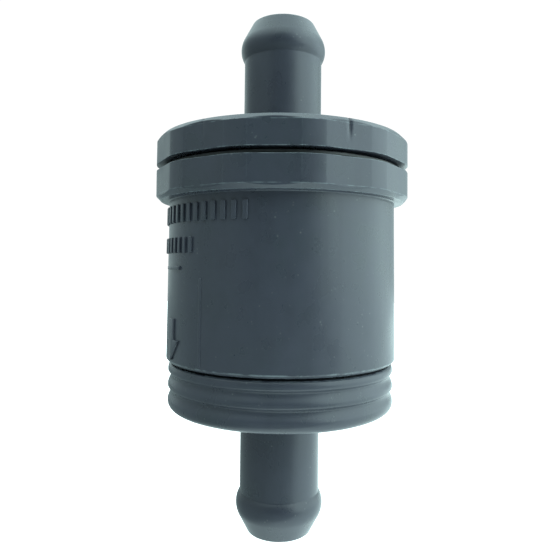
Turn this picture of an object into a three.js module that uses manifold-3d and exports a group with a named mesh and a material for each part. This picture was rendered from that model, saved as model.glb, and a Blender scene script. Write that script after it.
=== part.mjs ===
// An in-line fuel filter: a moulded housing with a hose spigot at each end, a screw-on inlet cap
// and a replaceable pleated cartridge held down by a spring.
// Millimetres, +Z up along the filter's axis from outlet to inlet, origin on the axis at mid-length.
import * as THREE from "three";
import { mergeVertices } from "three/addons/utils/BufferGeometryUtils.js";
import Module from "manifold-3d";

const wasm = await Module();
wasm.setup();

// ---- Driving dimensions -------------------------------------------------------------------

// Hose spigots, the same at both ends
const stemRadius = 8;
const stemLength = 17.1;
const spigotWall = 2.75;
const barbStep = 0.75; // how far the barb stands out from the stem
const bulgeHeight = 2.35; // from the end of the stem to the widest point of the barb
const barbLength = 7.95;
const leadAngle = 28; // half-angle of the lead-in cone, degrees
const leadArc = 4.5; // radius of the round between the widest point and the lead-in cone
const tipEdge = 0.3;

// Housing, cap and outlet end
const chamberRadius = 20;
const sleeveWall = 2.85;
const endHeight = 9.8;
const sleeveHeight = 31.2;
const collarHeight = 5.8;
const capGap = 1.2;
const rimHeight = 5.5;
const collarStep = 2.65; // how far the collar stands out from the sleeve
const flatCount = 12;
const landAngle = 9.5; // degrees of full radius left between two wrench flats
const rimChamfer = 1;
const collarChamfer = 0.9;
const sleeveDraft = 0.17; // how much wider the sleeve is at its lip
const lipChamfer = 0.6;
const ribInset = 0.42; // from the sleeve's lip in to the crests of the ribs
const ribDepth = 0.65;
const ribCount = 3;
const ribPitch = 3.05;
const endRound = 1.7;
const ribShift = 0.06; // the first crest is this much nearer the joint than half a pitch

// Raised marks on the sleeve; angles are round from the front, -Y, in degrees
const markHeight = 0.45;
const markTurn = -48;
const markSpread = 70;
const tickCount = 14;
const rowHeight = 3.6;
const rowDrop = 1.9; // from the collar down to the row of ticks
const barThickness = 1;
const barPitch = 2.2;
const barSpread = 28;
const arrowTurn = -66;
const arrowLength = 8.4;
const arrowWidth = 7;
const arrowLift = 1; // from the lip's chamfer up to the arrow's point

// Mouth of the housing and plug of the cap
const mouthDepth = 10.5;
const threadDepth = 1;
const threadPitch = 3;
const threadRoot = 1.5; // axial width of a thread ridge where it meets its wall
const threadCrest = 0.7;
const threadBite = 0.4; // how deep the ridge is set into its wall
const plugEndGap = 0.9; // from the end of the plug down to the shoulder in the mouth
const plugWall = 2.6;
const capRoof = 3.2;
const glandWidth = 3.1;
const glandDepth = 2.2;
const washerThickness = 0.6;

// Outlet end, inside the housing
const floorThickness = 3;
const skirtHeight = 6.6;
const skirtWall = 2.7;
const sealDrop = 1; // from the joint up to the seal's groove
const snapDrop = 5; // from the joint up to the middle of the snap ring
const snapWire = 0.5;
const snapTurns = 0.96;
const sealGrooveDepth = 1.5;
const sealGrooveWidth = 2.4;
const sealGap = 0.15; // left round the sealing ring, which is drawn unsqueezed
const seatHeight = 2.2;
const seatWall = 3.6;
const nozzleWall = 1.2;
const nozzleHeight = 6;

// Cartridge
const cartridgeGap = 0.6; // all round, inside the outlet end's skirt
const discThickness = 0.8;
const discRim = 2.6;
const pottingThickness = 1.6;
const mediaHeight = 18;
const pleatCount = 30;
const paperThickness = 0.45;
const fleeceThickness = 0.9;
const tubeWall = 0.6;
const tubeHoleRadius = 1.1;
const tubeHoles = 8; // round the tube, in each of its rows
const tubeRows = 4;
const guardWall = 0.5;
const guardSlotWidth = 2.6;
const guardSlots = 16;
const guardRows = 3;
const grommetWall = 1.5;
const grommetFlange = 1.1;
const grommetHeight = 3.4;

// Spring and its two seats
const springRadius = 10.4; // to the middle of the wire
const wireRadius = 0.6;
const springTurns = 5;
const closedGap = 0.15; // between the wires of the closed turns at each end
const seatThickness = 0.8;
const cupRim = 2.2;
const domeHeight = 3;

const clearance = 0.3; // for every running and seating fit
const overrun = 1; // how far a cut runs past its face, and a joined bar runs into its wall

// Facets of a full turn, on the large rounds and on the small ones
const facets = 48;
const smallFacets = 32;

// ---- Places worked out from the sizes above -----------------------------------------------

const spigotLength = stemLength + barbLength;
const portRadius = stemRadius - spigotWall;
const sleeveRadius = chamberRadius + sleeveWall;
const lipRadius = sleeveRadius + sleeveDraft;
const collarRadius = sleeveRadius + collarStep;
const ribRadius = lipRadius - ribInset;
const tickPitch = markSpread / tickCount;
const markReach = collarRadius + overrun;
const bodyLength = endHeight + sleeveHeight + collarHeight + capGap + rimHeight;
const zOutletTip = -(2 * spigotLength + bodyLength) / 2;
const zEnd = zOutletTip + spigotLength;
const zLip = zEnd + endHeight;
const zCollar = zLip + sleeveHeight;
const zMouth = zCollar + collarHeight;
const zRim = zMouth + capGap;
const zTop = zRim + rimHeight;
const zInletTip = zTop + spigotLength;

const mouthRadius = chamberRadius + threadDepth;
const plugRadius = mouthRadius - threadDepth - clearance;
const plugBore = plugRadius - plugWall;
const zShoulder = zMouth - mouthDepth;
const zPlug = zShoulder + plugEndGap;
const zRoof = zTop - capRoof;
const zGland = zMouth - glandDepth;
const glandRadius = mouthRadius + glandWidth;
const ringSection = (glandDepth + capGap - washerThickness - 3 * clearance) / 2;
const threadTurns = (zGland - zShoulder - threadRoot - clearance) / threadPitch;
const zThread = zShoulder + (threadRoot + clearance) / 2; // start of the housing's ridge

const zFloor = zEnd + floorThickness;
const zSeat = zFloor + seatHeight;
const zNozzle = zSeat + nozzleHeight;
const nozzleRadius = portRadius + nozzleWall;
const seatRadius = portRadius + seatWall;
const skirtRadius = chamberRadius - clearance;
const skirtBore = skirtRadius - skirtWall;
const cartridgeRadius = skirtBore - cartridgeGap;
const zSkirt = zLip + skirtHeight;
const zSealGroove = zLip + sealDrop;
const grooveFloor = skirtRadius - sealGrooveDepth;
const snapRadius = chamberRadius - clearance / 2; // half in the skirt, half in the sleeve
const snapRoom = snapWire + sealGap;
const zSnap = zLip + snapDrop;

const grommetBore = nozzleRadius + clearance;
const grommetRadius = grommetBore + grommetWall;
const flangeRadius = grommetRadius + grommetFlange;
const zGrommet = zSeat + clearance;
const zBottomDisc = zGrommet + discThickness + clearance;
const zMedia = zBottomDisc + discThickness + pottingThickness + 2 * clearance;
const zMediaTop = zMedia + mediaHeight;
const zTopDisc = zMediaTop + pottingThickness + 2 * clearance;
const tubeBore = grommetRadius + clearance;
const tubeRadius = tubeBore + tubeWall;
const fleeceBore = tubeRadius + clearance;
const fleeceRadius = fleeceBore + fleeceThickness;
const pleatInner = fleeceRadius + clearance;
const panBore = cartridgeRadius - discThickness;
const guardRadius = panBore;
const pleatOuter = guardRadius - guardWall - clearance;
const halfPleat = Math.PI / pleatCount;
const pleatDepth = pleatOuter - pleatInner;
const flankRun = (pleatInner + pleatDepth / 2) * Math.sin(halfPleat);
const paperSlant = paperThickness / Math.sin(Math.atan2(flankRun, pleatDepth));

const zCup = zTopDisc + discThickness + clearance;
const springOuter = springRadius + wireRadius;
const zSpring = zCup + seatThickness + clearance;
const zUpperSeat = zRoof - clearance - seatThickness;
const zSpringTop = zUpperSeat - clearance;

// ---- Finishes -----------------------------------------------------------------------------

const plastic = finish(0x3d4854, 0.55, 0);
const rubber = finish(0x15171a, 0.85, 0);
const acetal = finish(0x1d1f22, 0.5, 0);
const steel = finish(0xb4b8bc, 0.35, 0.9);
const paper = finish(0xe2d6b4, 0.95, 0);
const fleece = finish(0xf0efe8, 1, 0);
const resin = finish(0xd8862a, 0.45, 0);

function finish(color, roughness, metalness) {
  return new THREE.MeshStandardMaterial({ color, roughness, metalness });
}

// ---- Solids -------------------------------------------------------------------------------

// A closed three.js geometry as a solid, with the triangles that collapse on the axis dropped.
function solid(geometry) {
  const bare = new THREE.BufferGeometry();
  bare.setAttribute("position", geometry.getAttribute("position"));
  bare.setIndex(geometry.index);
  const merged = mergeVertices(bare, 1e-4);
  const index = merged.index.array;
  const kept = [];
  for (let i = 0; i < index.length; i += 3) {
    const [a, b, c] = index.slice(i, i + 3);
    if (a !== b && b !== c && c !== a) kept.push(a, b, c);
  }
  const vertProperties = merged.getAttribute("position").array;
  const triVerts = new Uint32Array(kept);
  return new wasm.Manifold(new wasm.Mesh({ numProp: 3, vertProperties, triVerts }));
}

// A profile of [radius, z] points turned round the axis. It runs anticlockwise, and it either
// starts and ends on the axis or is closed on its first point.
function revolve(profile, segments = facets) {
  const points = profile.map(([r, z]) => new THREE.Vector2(r, z));
  if (profile[0][0] > 0) points.push(points[0].clone());
  const lathe = new THREE.LatheGeometry(points, segments);
  lathe.rotateX(Math.PI / 2);
  return solid(lathe);
}

// A ring of rectangular section.
function ring(inner, outer, low, high, segments = smallFacets) {
  const profile = [
    [inner, low],
    [outer, low],
    [outer, high],
    [inner, high],
  ];
  return revolve(profile, segments);
}

// A round hole or bar on the axis.
function rod(radius, low, high, segments = smallFacets) {
  const profile = [
    [0, low],
    [radius, low],
    [radius, high],
    [0, high],
  ];
  return revolve(profile, segments);
}

function prism(shape, low, high) {
  const extruded = new THREE.ExtrudeGeometry(shape, { depth: high - low, bevelEnabled: false });
  extruded.translate(0, 0, low);
  return solid(extruded);
}

// A rubber ring of round section.
function oRing(radius, section, z) {
  const torus = new THREE.TorusGeometry(radius, section, 8, facets);
  torus.translate(0, 0, z);
  return solid(torus);
}

// A section of [radius, z] points, anticlockwise, carried round the axis as it climbs by rise(turn).
function coil(section, turns, stepsPerTurn, rise, startTurn = 0) {
  const steps = Math.round(turns * stepsPerTurn);
  const size = section.length;
  const positions = [];
  for (let s = 0; s <= steps; s++) {
    const turn = (turns * s) / steps;
    const angle = 2 * Math.PI * (startTurn + turn);
    for (const [r, z] of section) {
      positions.push(r * Math.cos(angle), r * Math.sin(angle), z + rise(turn));
    }
  }
  const index = [];
  for (let s = 0; s < steps; s++) {
    for (let i = 0; i < size; i++) {
      const here = s * size + i;
      const beside = s * size + ((i + 1) % size);
      index.push(here, here + size, beside, beside, here + size, beside + size);
    }
  }
  const last = steps * size;
  for (let i = 1; i < size - 1; i++) {
    index.push(0, i, i + 1, last, last + i + 1, last + i);
  }
  const swept = new THREE.BufferGeometry();
  swept.setAttribute("position", new THREE.Float32BufferAttribute(positions, 3));
  swept.setIndex(index);
  return solid(swept);
}

// A solid as a named mesh.
function part(name, body, material) {
  const { numProp, vertProperties, triVerts } = body.getMesh();
  const geometry = new THREE.BufferGeometry();
  geometry.setAttribute("position", new THREE.BufferAttribute(vertProperties, numProp));
  geometry.setIndex(new THREE.BufferAttribute(triVerts, 1));
  const mesh = new THREE.Mesh(geometry.toNonIndexed(), material);
  mesh.geometry.computeVertexNormals();
  mesh.name = name;
  return mesh;
}

// The points of an arc in a profile, from one angle to another in degrees.
function arc(centreR, centreZ, radius, from, to, steps) {
  const points = [];
  for (let i = 0; i <= steps; i++) {
    const angle = THREE.MathUtils.degToRad(from + ((to - from) * i) / steps);
    points.push([centreR + radius * Math.cos(angle), centreZ + radius * Math.sin(angle)]);
  }
  return points;
}

// ---- Shared shapes ------------------------------------------------------------------------

// The outside of a spigot from its root up to its tip, for one that points up from z = 0.
function spigotProfile() {
  const bulgeRadius = stemRadius + barbStep;
  const swellArc = (barbStep ** 2 + bulgeHeight ** 2) / (2 * barbStep);
  const swellAngle = THREE.MathUtils.radToDeg(Math.asin(bulgeHeight / swellArc));
  const zWidest = stemLength + bulgeHeight;
  const below = arc(bulgeRadius - swellArc, zWidest, swellArc, -swellAngle, 0, 4);
  const above = arc(bulgeRadius - leadArc, zWidest, leadArc, 0, leadAngle, 4);
  const [coneR, coneZ] = above[above.length - 1];
  const slope = Math.tan(THREE.MathUtils.degToRad(leadAngle));
  const tipRadius = coneR - slope * (spigotLength - coneZ);
  return [
    [stemRadius, 0],
    ...below,
    ...above.slice(1),
    [tipRadius + slope * tipEdge, spigotLength - tipEdge],
    [tipRadius - tipEdge, spigotLength],
  ];
}

// The spigot as a solid bar that starts inside the wall it grows from.
function spigot() {
  const root = [
    [0, -overrun],
    [stemRadius, -overrun],
  ];
  return revolve([...root, ...spigotProfile(), [0, spigotLength]], smallFacets);
}

// The outline with wrench flats: chords between the lands, with a flat centred on +X.
function flatsPrism(low, high) {
  const shape = new THREE.Shape();
  const step = 360 / flatCount;
  for (let i = 0; i < flatCount; i++) {
    const middle = step * (i + 0.5);
    for (const side of [-0.5, 0, 0.5]) {
      const angle = THREE.MathUtils.degToRad(middle + side * landAngle);
      const x = collarRadius * Math.cos(angle);
      const y = collarRadius * Math.sin(angle);
      if (i === 0 && side < 0) shape.moveTo(x, y);
      else shape.lineTo(x, y);
    }
  }
  shape.closePath();
  return prism(shape, low, high);
}

// A screw thread's ridge. Outward ridges stand on a plug, inward ones on the wall of a mouth.
function threadRidge(wall, outward, z) {
  const towards = outward ? 1 : -1;
  const rootR = wall - towards * threadBite;
  const crestR = wall + towards * threadDepth;
  const section = [
    [rootR, -threadRoot / 2],
    [crestR, -threadCrest / 2],
    [crestR, threadCrest / 2],
    [rootR, threadRoot / 2],
  ];
  if (!outward) section.reverse();
  const rise = (turn) => z + threadPitch * turn;
  return coil(section, threadTurns, 24, rise);
}

// ---- Housing, cap and outlet end ----------------------------------------------------------

// A thin shell over the sleeve, from which the raised marks are cut.
function markShell() {
  return ring(sleeveRadius - overrun, lipRadius + markHeight, zLip + lipChamfer, zCollar, facets);
}

// A block of the shell between two angles, measured round from the front, -Y.
function markBlock(from, to, low, high) {
  const wedge = new THREE.Shape();
  wedge.moveTo(0, 0);
  for (const turn of [from, (from + to) / 2, to]) {
    const angle = THREE.MathUtils.degToRad(turn - 90);
    wedge.lineTo(2 * markReach * Math.cos(angle), 2 * markReach * Math.sin(angle));
  }
  return prism(wedge, low, high);
}

// An arrow that points down, with its point at z = 0.
function arrowShape() {
  const head = arrowLength * 0.55;
  const shaft = arrowWidth / 5;
  const arrow = new THREE.Shape();
  arrow.moveTo(0, 0);
  arrow.lineTo(arrowWidth / 2, head);
  arrow.lineTo(shaft, head);
  arrow.lineTo(shaft, arrowLength);
  arrow.lineTo(-shaft, arrowLength);
  arrow.lineTo(-shaft, head);
  arrow.lineTo(-arrowWidth / 2, head);
  arrow.closePath();
  return arrow;
}

// A row of plain upright ticks, two short bars and a flow arrow that points to the outlet.
function flowMarks() {
  const blocks = [];
  const zRow = zCollar - rowDrop - rowHeight;
  for (let i = 0; i < tickCount; i++) {
    const turn = markTurn - markSpread / 2 + i * tickPitch;
    blocks.push(markBlock(turn, turn + tickPitch * 0.4, zRow, zRow + rowHeight));
  }
  for (const bar of [1, 2]) {
    const zBar = zRow - bar * barPitch;
    blocks.push(markBlock(arrowTurn - barSpread / 2, arrowTurn + barSpread / 2, zBar, zBar + barThickness));
  }
  const zArrow = zLip + lipChamfer + arrowLift;
  const arrow = prism(arrowShape(), 0, markReach).rotate([90, 0, arrowTurn]);
  blocks.push(arrow.translate([0, 0, zArrow]));
  return wasm.Manifold.union(blocks).intersect(markShell());
}

function housingBody() {
  const sleeve = revolve([
    [0, zLip],
    [lipRadius - lipChamfer, zLip],
    [lipRadius, zLip + lipChamfer],
    [sleeveRadius, zCollar],
    [sleeveRadius, zCollar + overrun],
    [0, zCollar + overrun],
  ]);
  const chamfer = revolve([
    [0, zCollar],
    [collarRadius - collarChamfer, zCollar],
    [collarRadius + overrun, zCollar + collarChamfer + overrun],
    [collarRadius + overrun, zMouth],
    [0, zMouth],
  ]);
  const collar = flatsPrism(zCollar, zMouth).intersect(chamfer);
  const hollow = revolve([
    [0, zLip - overrun],
    [chamberRadius, zLip - overrun],
    [chamberRadius, zShoulder - threadDepth],
    [mouthRadius, zShoulder],
    [mouthRadius, zGland],
    [glandRadius, zGland],
    [glandRadius, zMouth + overrun],
    [0, zMouth + overrun],
  ]);
  const ridge = threadRidge(mouthRadius, false, zThread);
  const outside = sleeve.add(collar).add(flowMarks());
  return outside.subtract(hollow).subtract(snapGroove()).add(ridge);
}

// Cut half from the outlet end's skirt and half from the sleeve's bore.
function snapGroove() {
  return ring(snapRadius - snapRoom, snapRadius + snapRoom, zSnap - snapRoom, zSnap + snapRoom, facets);
}

// The open wire ring that locks the outlet end into the sleeve.
function snapRing() {
  const section = arc(snapRadius, zSnap, snapWire, 0, 300, 5);
  return coil(section, snapTurns, facets, () => 0);
}

function inletCap() {
  const chamfer = revolve([
    [0, zRim],
    [collarRadius + overrun, zRim],
    [collarRadius + overrun, zTop - rimChamfer - overrun],
    [collarRadius - rimChamfer, zTop],
    [0, zTop],
  ]);
  const rim = flatsPrism(zRim, zTop).intersect(chamfer);
  const plug = rod(plugRadius, zPlug, zRim + overrun, facets);
  const hollow = rod(plugBore, zPlug - overrun, zRoof, facets);
  const port = rod(portRadius, zRoof - overrun, zInletTip + overrun);
  // Half a pitch above the housing's ridge, so that the two interleave
  const ridge = threadRidge(plugRadius, true, zThread + threadPitch / 2);
  const outside = rim.add(plug).add(ridge).add(spigot().translate([0, 0, zTop]));
  return outside.subtract(hollow).subtract(port);
}

// The three ribs as a wave from the rounded bottom edge up to the joint with the housing.
function ribbedOutside() {
  const top = zLip - clearance;
  const firstCrest = zLip - ribPitch / 2 + ribShift;
  const lowestCrest = firstCrest - (ribCount - 1) * ribPitch;
  const points = arc(ribRadius - endRound, zEnd + endRound, endRound, -90, 0, 3);
  const stepsPerRib = 4;
  for (let i = 0; i <= (ribCount - 0.5) * stepsPerRib; i++) {
    const z = lowestCrest + (i * ribPitch) / stepsPerRib;
    const wave = (1 - Math.cos((2 * Math.PI * i) / stepsPerRib)) / 2;
    if (z < top) points.push([ribRadius - ribDepth * wave, z]);
  }
  points.push([ribRadius - ribDepth, top]);
  return points;
}

function outletEnd() {
  const top = zLip - clearance;
  const block = revolve([[0, zEnd], ...ribbedOutside(), [0, top]]);
  const skirt = rod(skirtRadius, zFloor, zSkirt, facets);
  const cut = revolve([
    [0, zFloor],
    [skirtBore, zFloor],
    [skirtBore, zSkirt + overrun],
    [0, zSkirt + overrun],
  ]);
  const zGrooveTop = zSealGroove + sealGrooveWidth;
  const groove = ring(grooveFloor, skirtRadius + overrun, zSealGroove, zGrooveTop, facets);
  const pan = block.add(skirt).subtract(cut).subtract(groove).subtract(snapGroove());
  const seat = rod(seatRadius, zFloor - overrun, zSeat);
  const nozzle = rod(nozzleRadius, zFloor - overrun, zNozzle);
  const stem = spigot().rotate([180, 0, 0]).translate([0, 0, zEnd]);
  const port = rod(portRadius, zOutletTip - overrun, zNozzle + overrun);
  return pan.add(seat).add(nozzle).add(stem).subtract(port);
}

function outletEndSeal() {
  const section = (chamberRadius - grooveFloor) / 2 - sealGap;
  return oRing(grooveFloor + sealGap + section, section, zSealGroove + sealGrooveWidth / 2);
}

function capSeal() {
  const middle = (mouthRadius + glandRadius) / 2;
  return oRing(middle, ringSection, zGland + clearance + ringSection);
}

function slipWasher() {
  const top = zRim - clearance;
  return ring(mouthRadius + clearance, glandRadius - clearance, top - washerThickness, top, facets);
}

// ---- Cartridge ----------------------------------------------------------------------------

// Pleated paper: a zigzag wall, with each flank as thick as the paper.
function mediaPleats() {
  const zigzag = (Path, tip, valley) => {
    const path = new Path();
    for (let i = 0; i < 2 * pleatCount; i++) {
      const r = i % 2 ? valley : tip;
      const x = r * Math.cos(i * halfPleat);
      const y = r * Math.sin(i * halfPleat);
      if (i) path.lineTo(x, y);
      else path.moveTo(x, y);
    }
    path.closePath();
    return path;
  };
  const outline = zigzag(THREE.Shape, pleatOuter, pleatInner + paperSlant);
  outline.holes.push(zigzag(THREE.Path, pleatOuter - paperSlant, pleatInner));
  return prism(outline, zMedia, zMediaTop);
}

// A folded strip that pinches the two ends of the paper, in the valley between two outer folds.
function seamClip() {
  const share = 0.45; // how much of the valley's depth it takes up
  const floor = pleatInner + paperSlant;
  const outer = pleatOuter * Math.cos(halfPleat);
  const inner = outer - share * (outer - floor);
  const wide = pleatOuter * Math.sin(halfPleat) * (1 - share) - clearance;
  const strip = new THREE.Shape();
  strip.moveTo(inner, -wide);
  strip.lineTo(outer, -wide);
  strip.lineTo(outer, wide);
  strip.lineTo(inner, wide);
  return prism(strip, zMedia, zMediaTop).rotate([0, 0, THREE.MathUtils.radToDeg(halfPleat)]);
}

// An end disc is a shallow pan round the potting. Its rim points towards the paper.
function endDisc(z, upwards, bore) {
  const profile = [
    [bore, 0],
    [cartridgeRadius, 0],
    [cartridgeRadius, discRim],
    [panBore, discRim],
    [panBore, discThickness],
    [bore, discThickness],
  ];
  const disc = revolve(profile, smallFacets);
  if (upwards) return disc.translate([0, 0, z]);
  return disc.rotate([180, 0, 0]).translate([0, 0, z + discThickness]);
}

function topDisc() {
  return endDisc(zTopDisc, false, 0);
}

function potting(low) {
  return ring(tubeRadius + clearance, panBore - clearance, low, low + pottingThickness);
}

// A tube with rows of holes right through it, each row turned half a step from the last.
function perforated(tube, cutter, perTurn, rows, zFirst, zStep) {
  let drilled = tube;
  for (let row = 0; row < rows; row++) {
    for (let i = 0; i < perTurn / 2; i++) {
      const turn = (360 / perTurn) * (i + (row % 2) / 2);
      drilled = drilled.subtract(cutter.rotate([0, 0, turn]).translate([0, 0, zFirst + row * zStep]));
    }
  }
  return drilled;
}

function coreTube() {
  const low = zBottomDisc + discThickness + clearance;
  const high = zTopDisc - clearance;
  const step = mediaHeight / tubeRows;
  const drill = new THREE.CylinderGeometry(tubeHoleRadius, tubeHoleRadius, 4 * tubeRadius, 8);
  const tube = ring(tubeBore, tubeRadius, low, high);
  return perforated(tube, solid(drill), tubeHoles, tubeRows, zMedia + step / 2, step);
}

function outerGuard() {
  const inner = guardRadius - guardWall;
  const low = zBottomDisc + discRim + clearance;
  const high = zTopDisc + discThickness - discRim - clearance;
  const step = (high - low) / guardRows;
  const slot = new THREE.BoxGeometry(4 * guardRadius, guardSlotWidth, step * 0.7);
  const sleeve = ring(inner, guardRadius, low, high);
  return perforated(sleeve, solid(slot), guardSlots, guardRows, low + step / 2, step);
}

function innerFleece() {
  return ring(fleeceBore, fleeceRadius, zMedia, zMediaTop);
}

// The rubber grommet seals the cartridge on the outlet nozzle and holds the bottom disc's edge.
function outletGrommet() {
  return revolve([
    [grommetBore, zGrommet],
    [flangeRadius, zGrommet],
    [flangeRadius, zGrommet + discThickness],
    [grommetRadius, zGrommet + discThickness],
    [grommetRadius, zGrommet + grommetHeight],
    [grommetBore, zGrommet + grommetHeight],
  ], smallFacets);
}

// ---- Spring and seats ---------------------------------------------------------------------

// A pressed cup with a low dome that turns the stream outwards.
function springCup() {
  const rim = springOuter + clearance;
  const domeFoot = springRadius - wireRadius - 2 * clearance;
  const zPan = zCup + seatThickness;
  const sphere = (domeFoot ** 2 + domeHeight ** 2) / (2 * domeHeight);
  const halfDome = THREE.MathUtils.radToDeg(Math.asin(domeFoot / sphere));
  return revolve([
    [0, zCup],
    [rim + seatThickness, zCup],
    [rim + seatThickness, zCup + cupRim],
    [rim, zCup + cupRim],
    [rim, zPan],
    ...arc(0, zPan + domeHeight - sphere, sphere, 90 - halfDome, 90, 4),
  ]);
}

// Closed at both ends, with the rest of the turns spread over the height that is left.
function spring() {
  const section = arc(springRadius, 0, wireRadius, 0, 315, 7);
  const closedPitch = 2 * wireRadius + closedGap;
  const low = zSpring + wireRadius;
  const high = zSpringTop - wireRadius;
  const livePitch = (high - low - 2 * closedPitch) / (springTurns - 2);
  const rise = (turn) => {
    if (turn < 1) return low + closedPitch * turn;
    if (turn > springTurns - 1) return high - closedPitch * (springTurns - turn);
    return low + closedPitch + livePitch * (turn - 1);
  };
  return coil(section, springTurns, 16, rise);
}

function upperSpringSeat() {
  const inner = springRadius - wireRadius - clearance;
  return ring(inner, springOuter + clearance, zUpperSeat, zUpperSeat + seatThickness);
}

// ---- The assembly -------------------------------------------------------------------------

const housing = new THREE.Group();
housing.add(part("housing_body", housingBody(), plastic));
housing.add(part("outlet_end", outletEnd(), plastic));
housing.add(part("outlet_end_seal", outletEndSeal(), rubber));
housing.add(part("outlet_snap_ring", snapRing(), steel));

const cap = new THREE.Group();
cap.add(part("inlet_cap", inletCap(), plastic));
cap.add(part("upper_spring_seat", upperSpringSeat(), steel));

const seals = new THREE.Group();
seals.add(part("cap_seal", capSeal(), rubber));
seals.add(part("slip_washer", slipWasher(), acetal));

const zLowPotting = zBottomDisc + discThickness + clearance;
const cartridge = new THREE.Group();
cartridge.add(part("media_pleats", mediaPleats(), paper));
cartridge.add(part("seam_clip", seamClip(), steel));
cartridge.add(part("inner_fleece", innerFleece(), fleece));
cartridge.add(part("core_tube", coreTube(), steel));
cartridge.add(part("outer_guard", outerGuard(), steel));
cartridge.add(part("bottom_potting", potting(zLowPotting), resin));
cartridge.add(part("top_potting", potting(zMediaTop + clearance), resin));
cartridge.add(part("bottom_disc", endDisc(zBottomDisc, true, grommetRadius + clearance), steel));
cartridge.add(part("top_disc", topDisc(), steel));
cartridge.add(part("outlet_grommet", outletGrommet(), rubber));
cartridge.add(part("spring_cup", springCup(), steel));
cartridge.add(part("return_spring", spring(), steel));

const filter = new THREE.Group();
filter.add(housing, cap, seals, cartridge);

export default filter;
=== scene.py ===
"""An in-line fuel filter: a ribbed canister with a screw-on inlet cap, a hose spigot at each end and a
pleated cartridge under a spring. Sizes are in millimetres in the outlines and in metres in the scene.
"""

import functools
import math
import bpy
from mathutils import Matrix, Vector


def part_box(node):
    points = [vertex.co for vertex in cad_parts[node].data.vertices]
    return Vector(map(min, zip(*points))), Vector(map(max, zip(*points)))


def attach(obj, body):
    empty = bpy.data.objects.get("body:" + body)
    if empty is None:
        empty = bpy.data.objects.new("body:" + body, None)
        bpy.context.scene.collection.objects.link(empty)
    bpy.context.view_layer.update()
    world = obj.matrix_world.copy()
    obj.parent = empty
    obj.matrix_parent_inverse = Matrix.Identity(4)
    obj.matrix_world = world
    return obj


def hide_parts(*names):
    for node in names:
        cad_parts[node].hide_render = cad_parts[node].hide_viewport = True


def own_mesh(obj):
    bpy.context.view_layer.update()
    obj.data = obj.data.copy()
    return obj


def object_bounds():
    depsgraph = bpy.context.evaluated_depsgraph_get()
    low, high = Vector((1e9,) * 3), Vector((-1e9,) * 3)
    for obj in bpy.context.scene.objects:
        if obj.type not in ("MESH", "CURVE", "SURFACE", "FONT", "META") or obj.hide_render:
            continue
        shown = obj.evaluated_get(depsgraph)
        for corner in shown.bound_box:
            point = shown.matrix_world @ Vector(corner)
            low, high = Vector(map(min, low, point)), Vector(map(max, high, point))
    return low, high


bl_info = {
    "name": "In-line Fuel Filter",
    "version": (1, 0, 0),
    "blender": (4, 5, 0),
    "location": "View3D > Sidebar > Filter",
    "description": "Builds an in-line fuel filter, its cartridge and a plain studio around it",
    "category": "Object",
}

import bmesh
import bpy
from mathutils import Matrix, Vector

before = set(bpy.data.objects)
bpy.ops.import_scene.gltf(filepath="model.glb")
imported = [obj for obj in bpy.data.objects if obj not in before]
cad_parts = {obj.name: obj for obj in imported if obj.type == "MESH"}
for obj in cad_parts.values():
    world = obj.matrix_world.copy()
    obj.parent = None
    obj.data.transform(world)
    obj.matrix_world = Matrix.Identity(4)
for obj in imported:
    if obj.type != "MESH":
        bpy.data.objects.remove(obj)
CAD_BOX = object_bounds()

MM = 0.001
TAU = 2 * math.pi


def low(node):
    """The lowest point of a node of the frame, in millimetres."""
    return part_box(node)[0].z / MM


def high(node):
    """The highest point of a node of the frame, in millimetres."""
    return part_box(node)[1].z / MM


def reach(node):
    """How far a round node of the frame reaches from the axis, in millimetres."""
    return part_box(node)[1].x / MM


# ---- Settings -----------------------------------------------------------------------------------


def number(label, text, default, **settings):
    """A number that the user may change."""
    return bpy.props.FloatProperty(name=label, description=text, default=default, **settings)


def size(label, text, default):
    """A length that the user may change, with its default given in millimetres."""
    return number(label, text, default * MM, min=0.0, precision=5, subtype="DISTANCE", unit="LENGTH")


def degrees(label, text, default):
    """An angle that the user may change, with its default given in degrees."""
    return number(label, text, math.radians(default), subtype="ANGLE", unit="ROTATION")


def fraction(label, text, default):
    """A share from 0 to 1."""
    return number(label, text, default, min=0.0, max=1.0, subtype="FACTOR")


def brightness(label, text, default):
    """A strength of light."""
    return number(label, text, default, min=0.0)


def colour(label, text, default):
    """A colour that the user may change."""
    return bpy.props.FloatVectorProperty(
        name=label, description=text, default=default, size=3, min=0.0, max=1.0, subtype="COLOR"
    )


class FilterSizes(bpy.types.PropertyGroup):
    """Sizes of the moulded pieces."""

    stem_radius: size("Stem Radius", "Radius of a spigot's plain stem", 8.0)
    stem_length: size("Stem Length", "Plain length of a spigot", 17.1)
    port_radius: size("Port Radius", "Radius of the port through a spigot", 5.25)
    barb_step: size("Barb Step", "How far the barb stands out from the stem", 0.75)
    bulge_height: size("Bulge Height", "From the end of the stem to the barb's widest point", 2.35)
    barb_length: size("Barb Length", "From the end of the stem to the tip", 7.95)
    lead_arc: size("Lead Arc", "Radius of the round between the barb and its lead-in cone", 4.5)
    land_radius: size("Land Radius", "Radius of the lands between the wrench flats", 25.5)
    sleeve_radius: size("Sleeve Radius", "Radius of the sleeve under the collar", 22.85)
    lip_radius: size("Lip Radius", "Radius of the sleeve at its lip", 23.02)
    rim_height: size("Rim Height", "Height of the cap's rim", 5.5)
    collar_height: size("Collar Height", "Height of the housing's collar", 5.8)
    rib_depth: size("Rib Depth", "Depth of the grooves between the ribs", 0.55)
    rib_pitch: size("Rib Pitch", "Distance from rib to rib", 3.05)
    mark_height: size("Mark Height", "How far the raised marks stand out from the sleeve", 0.4)
    edge_round: size("Edge Round", "Radius of the moulded edges", 0.09)
    waviness: size("Waviness", "How far the moulded walls stray from true", 0.025)


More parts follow.
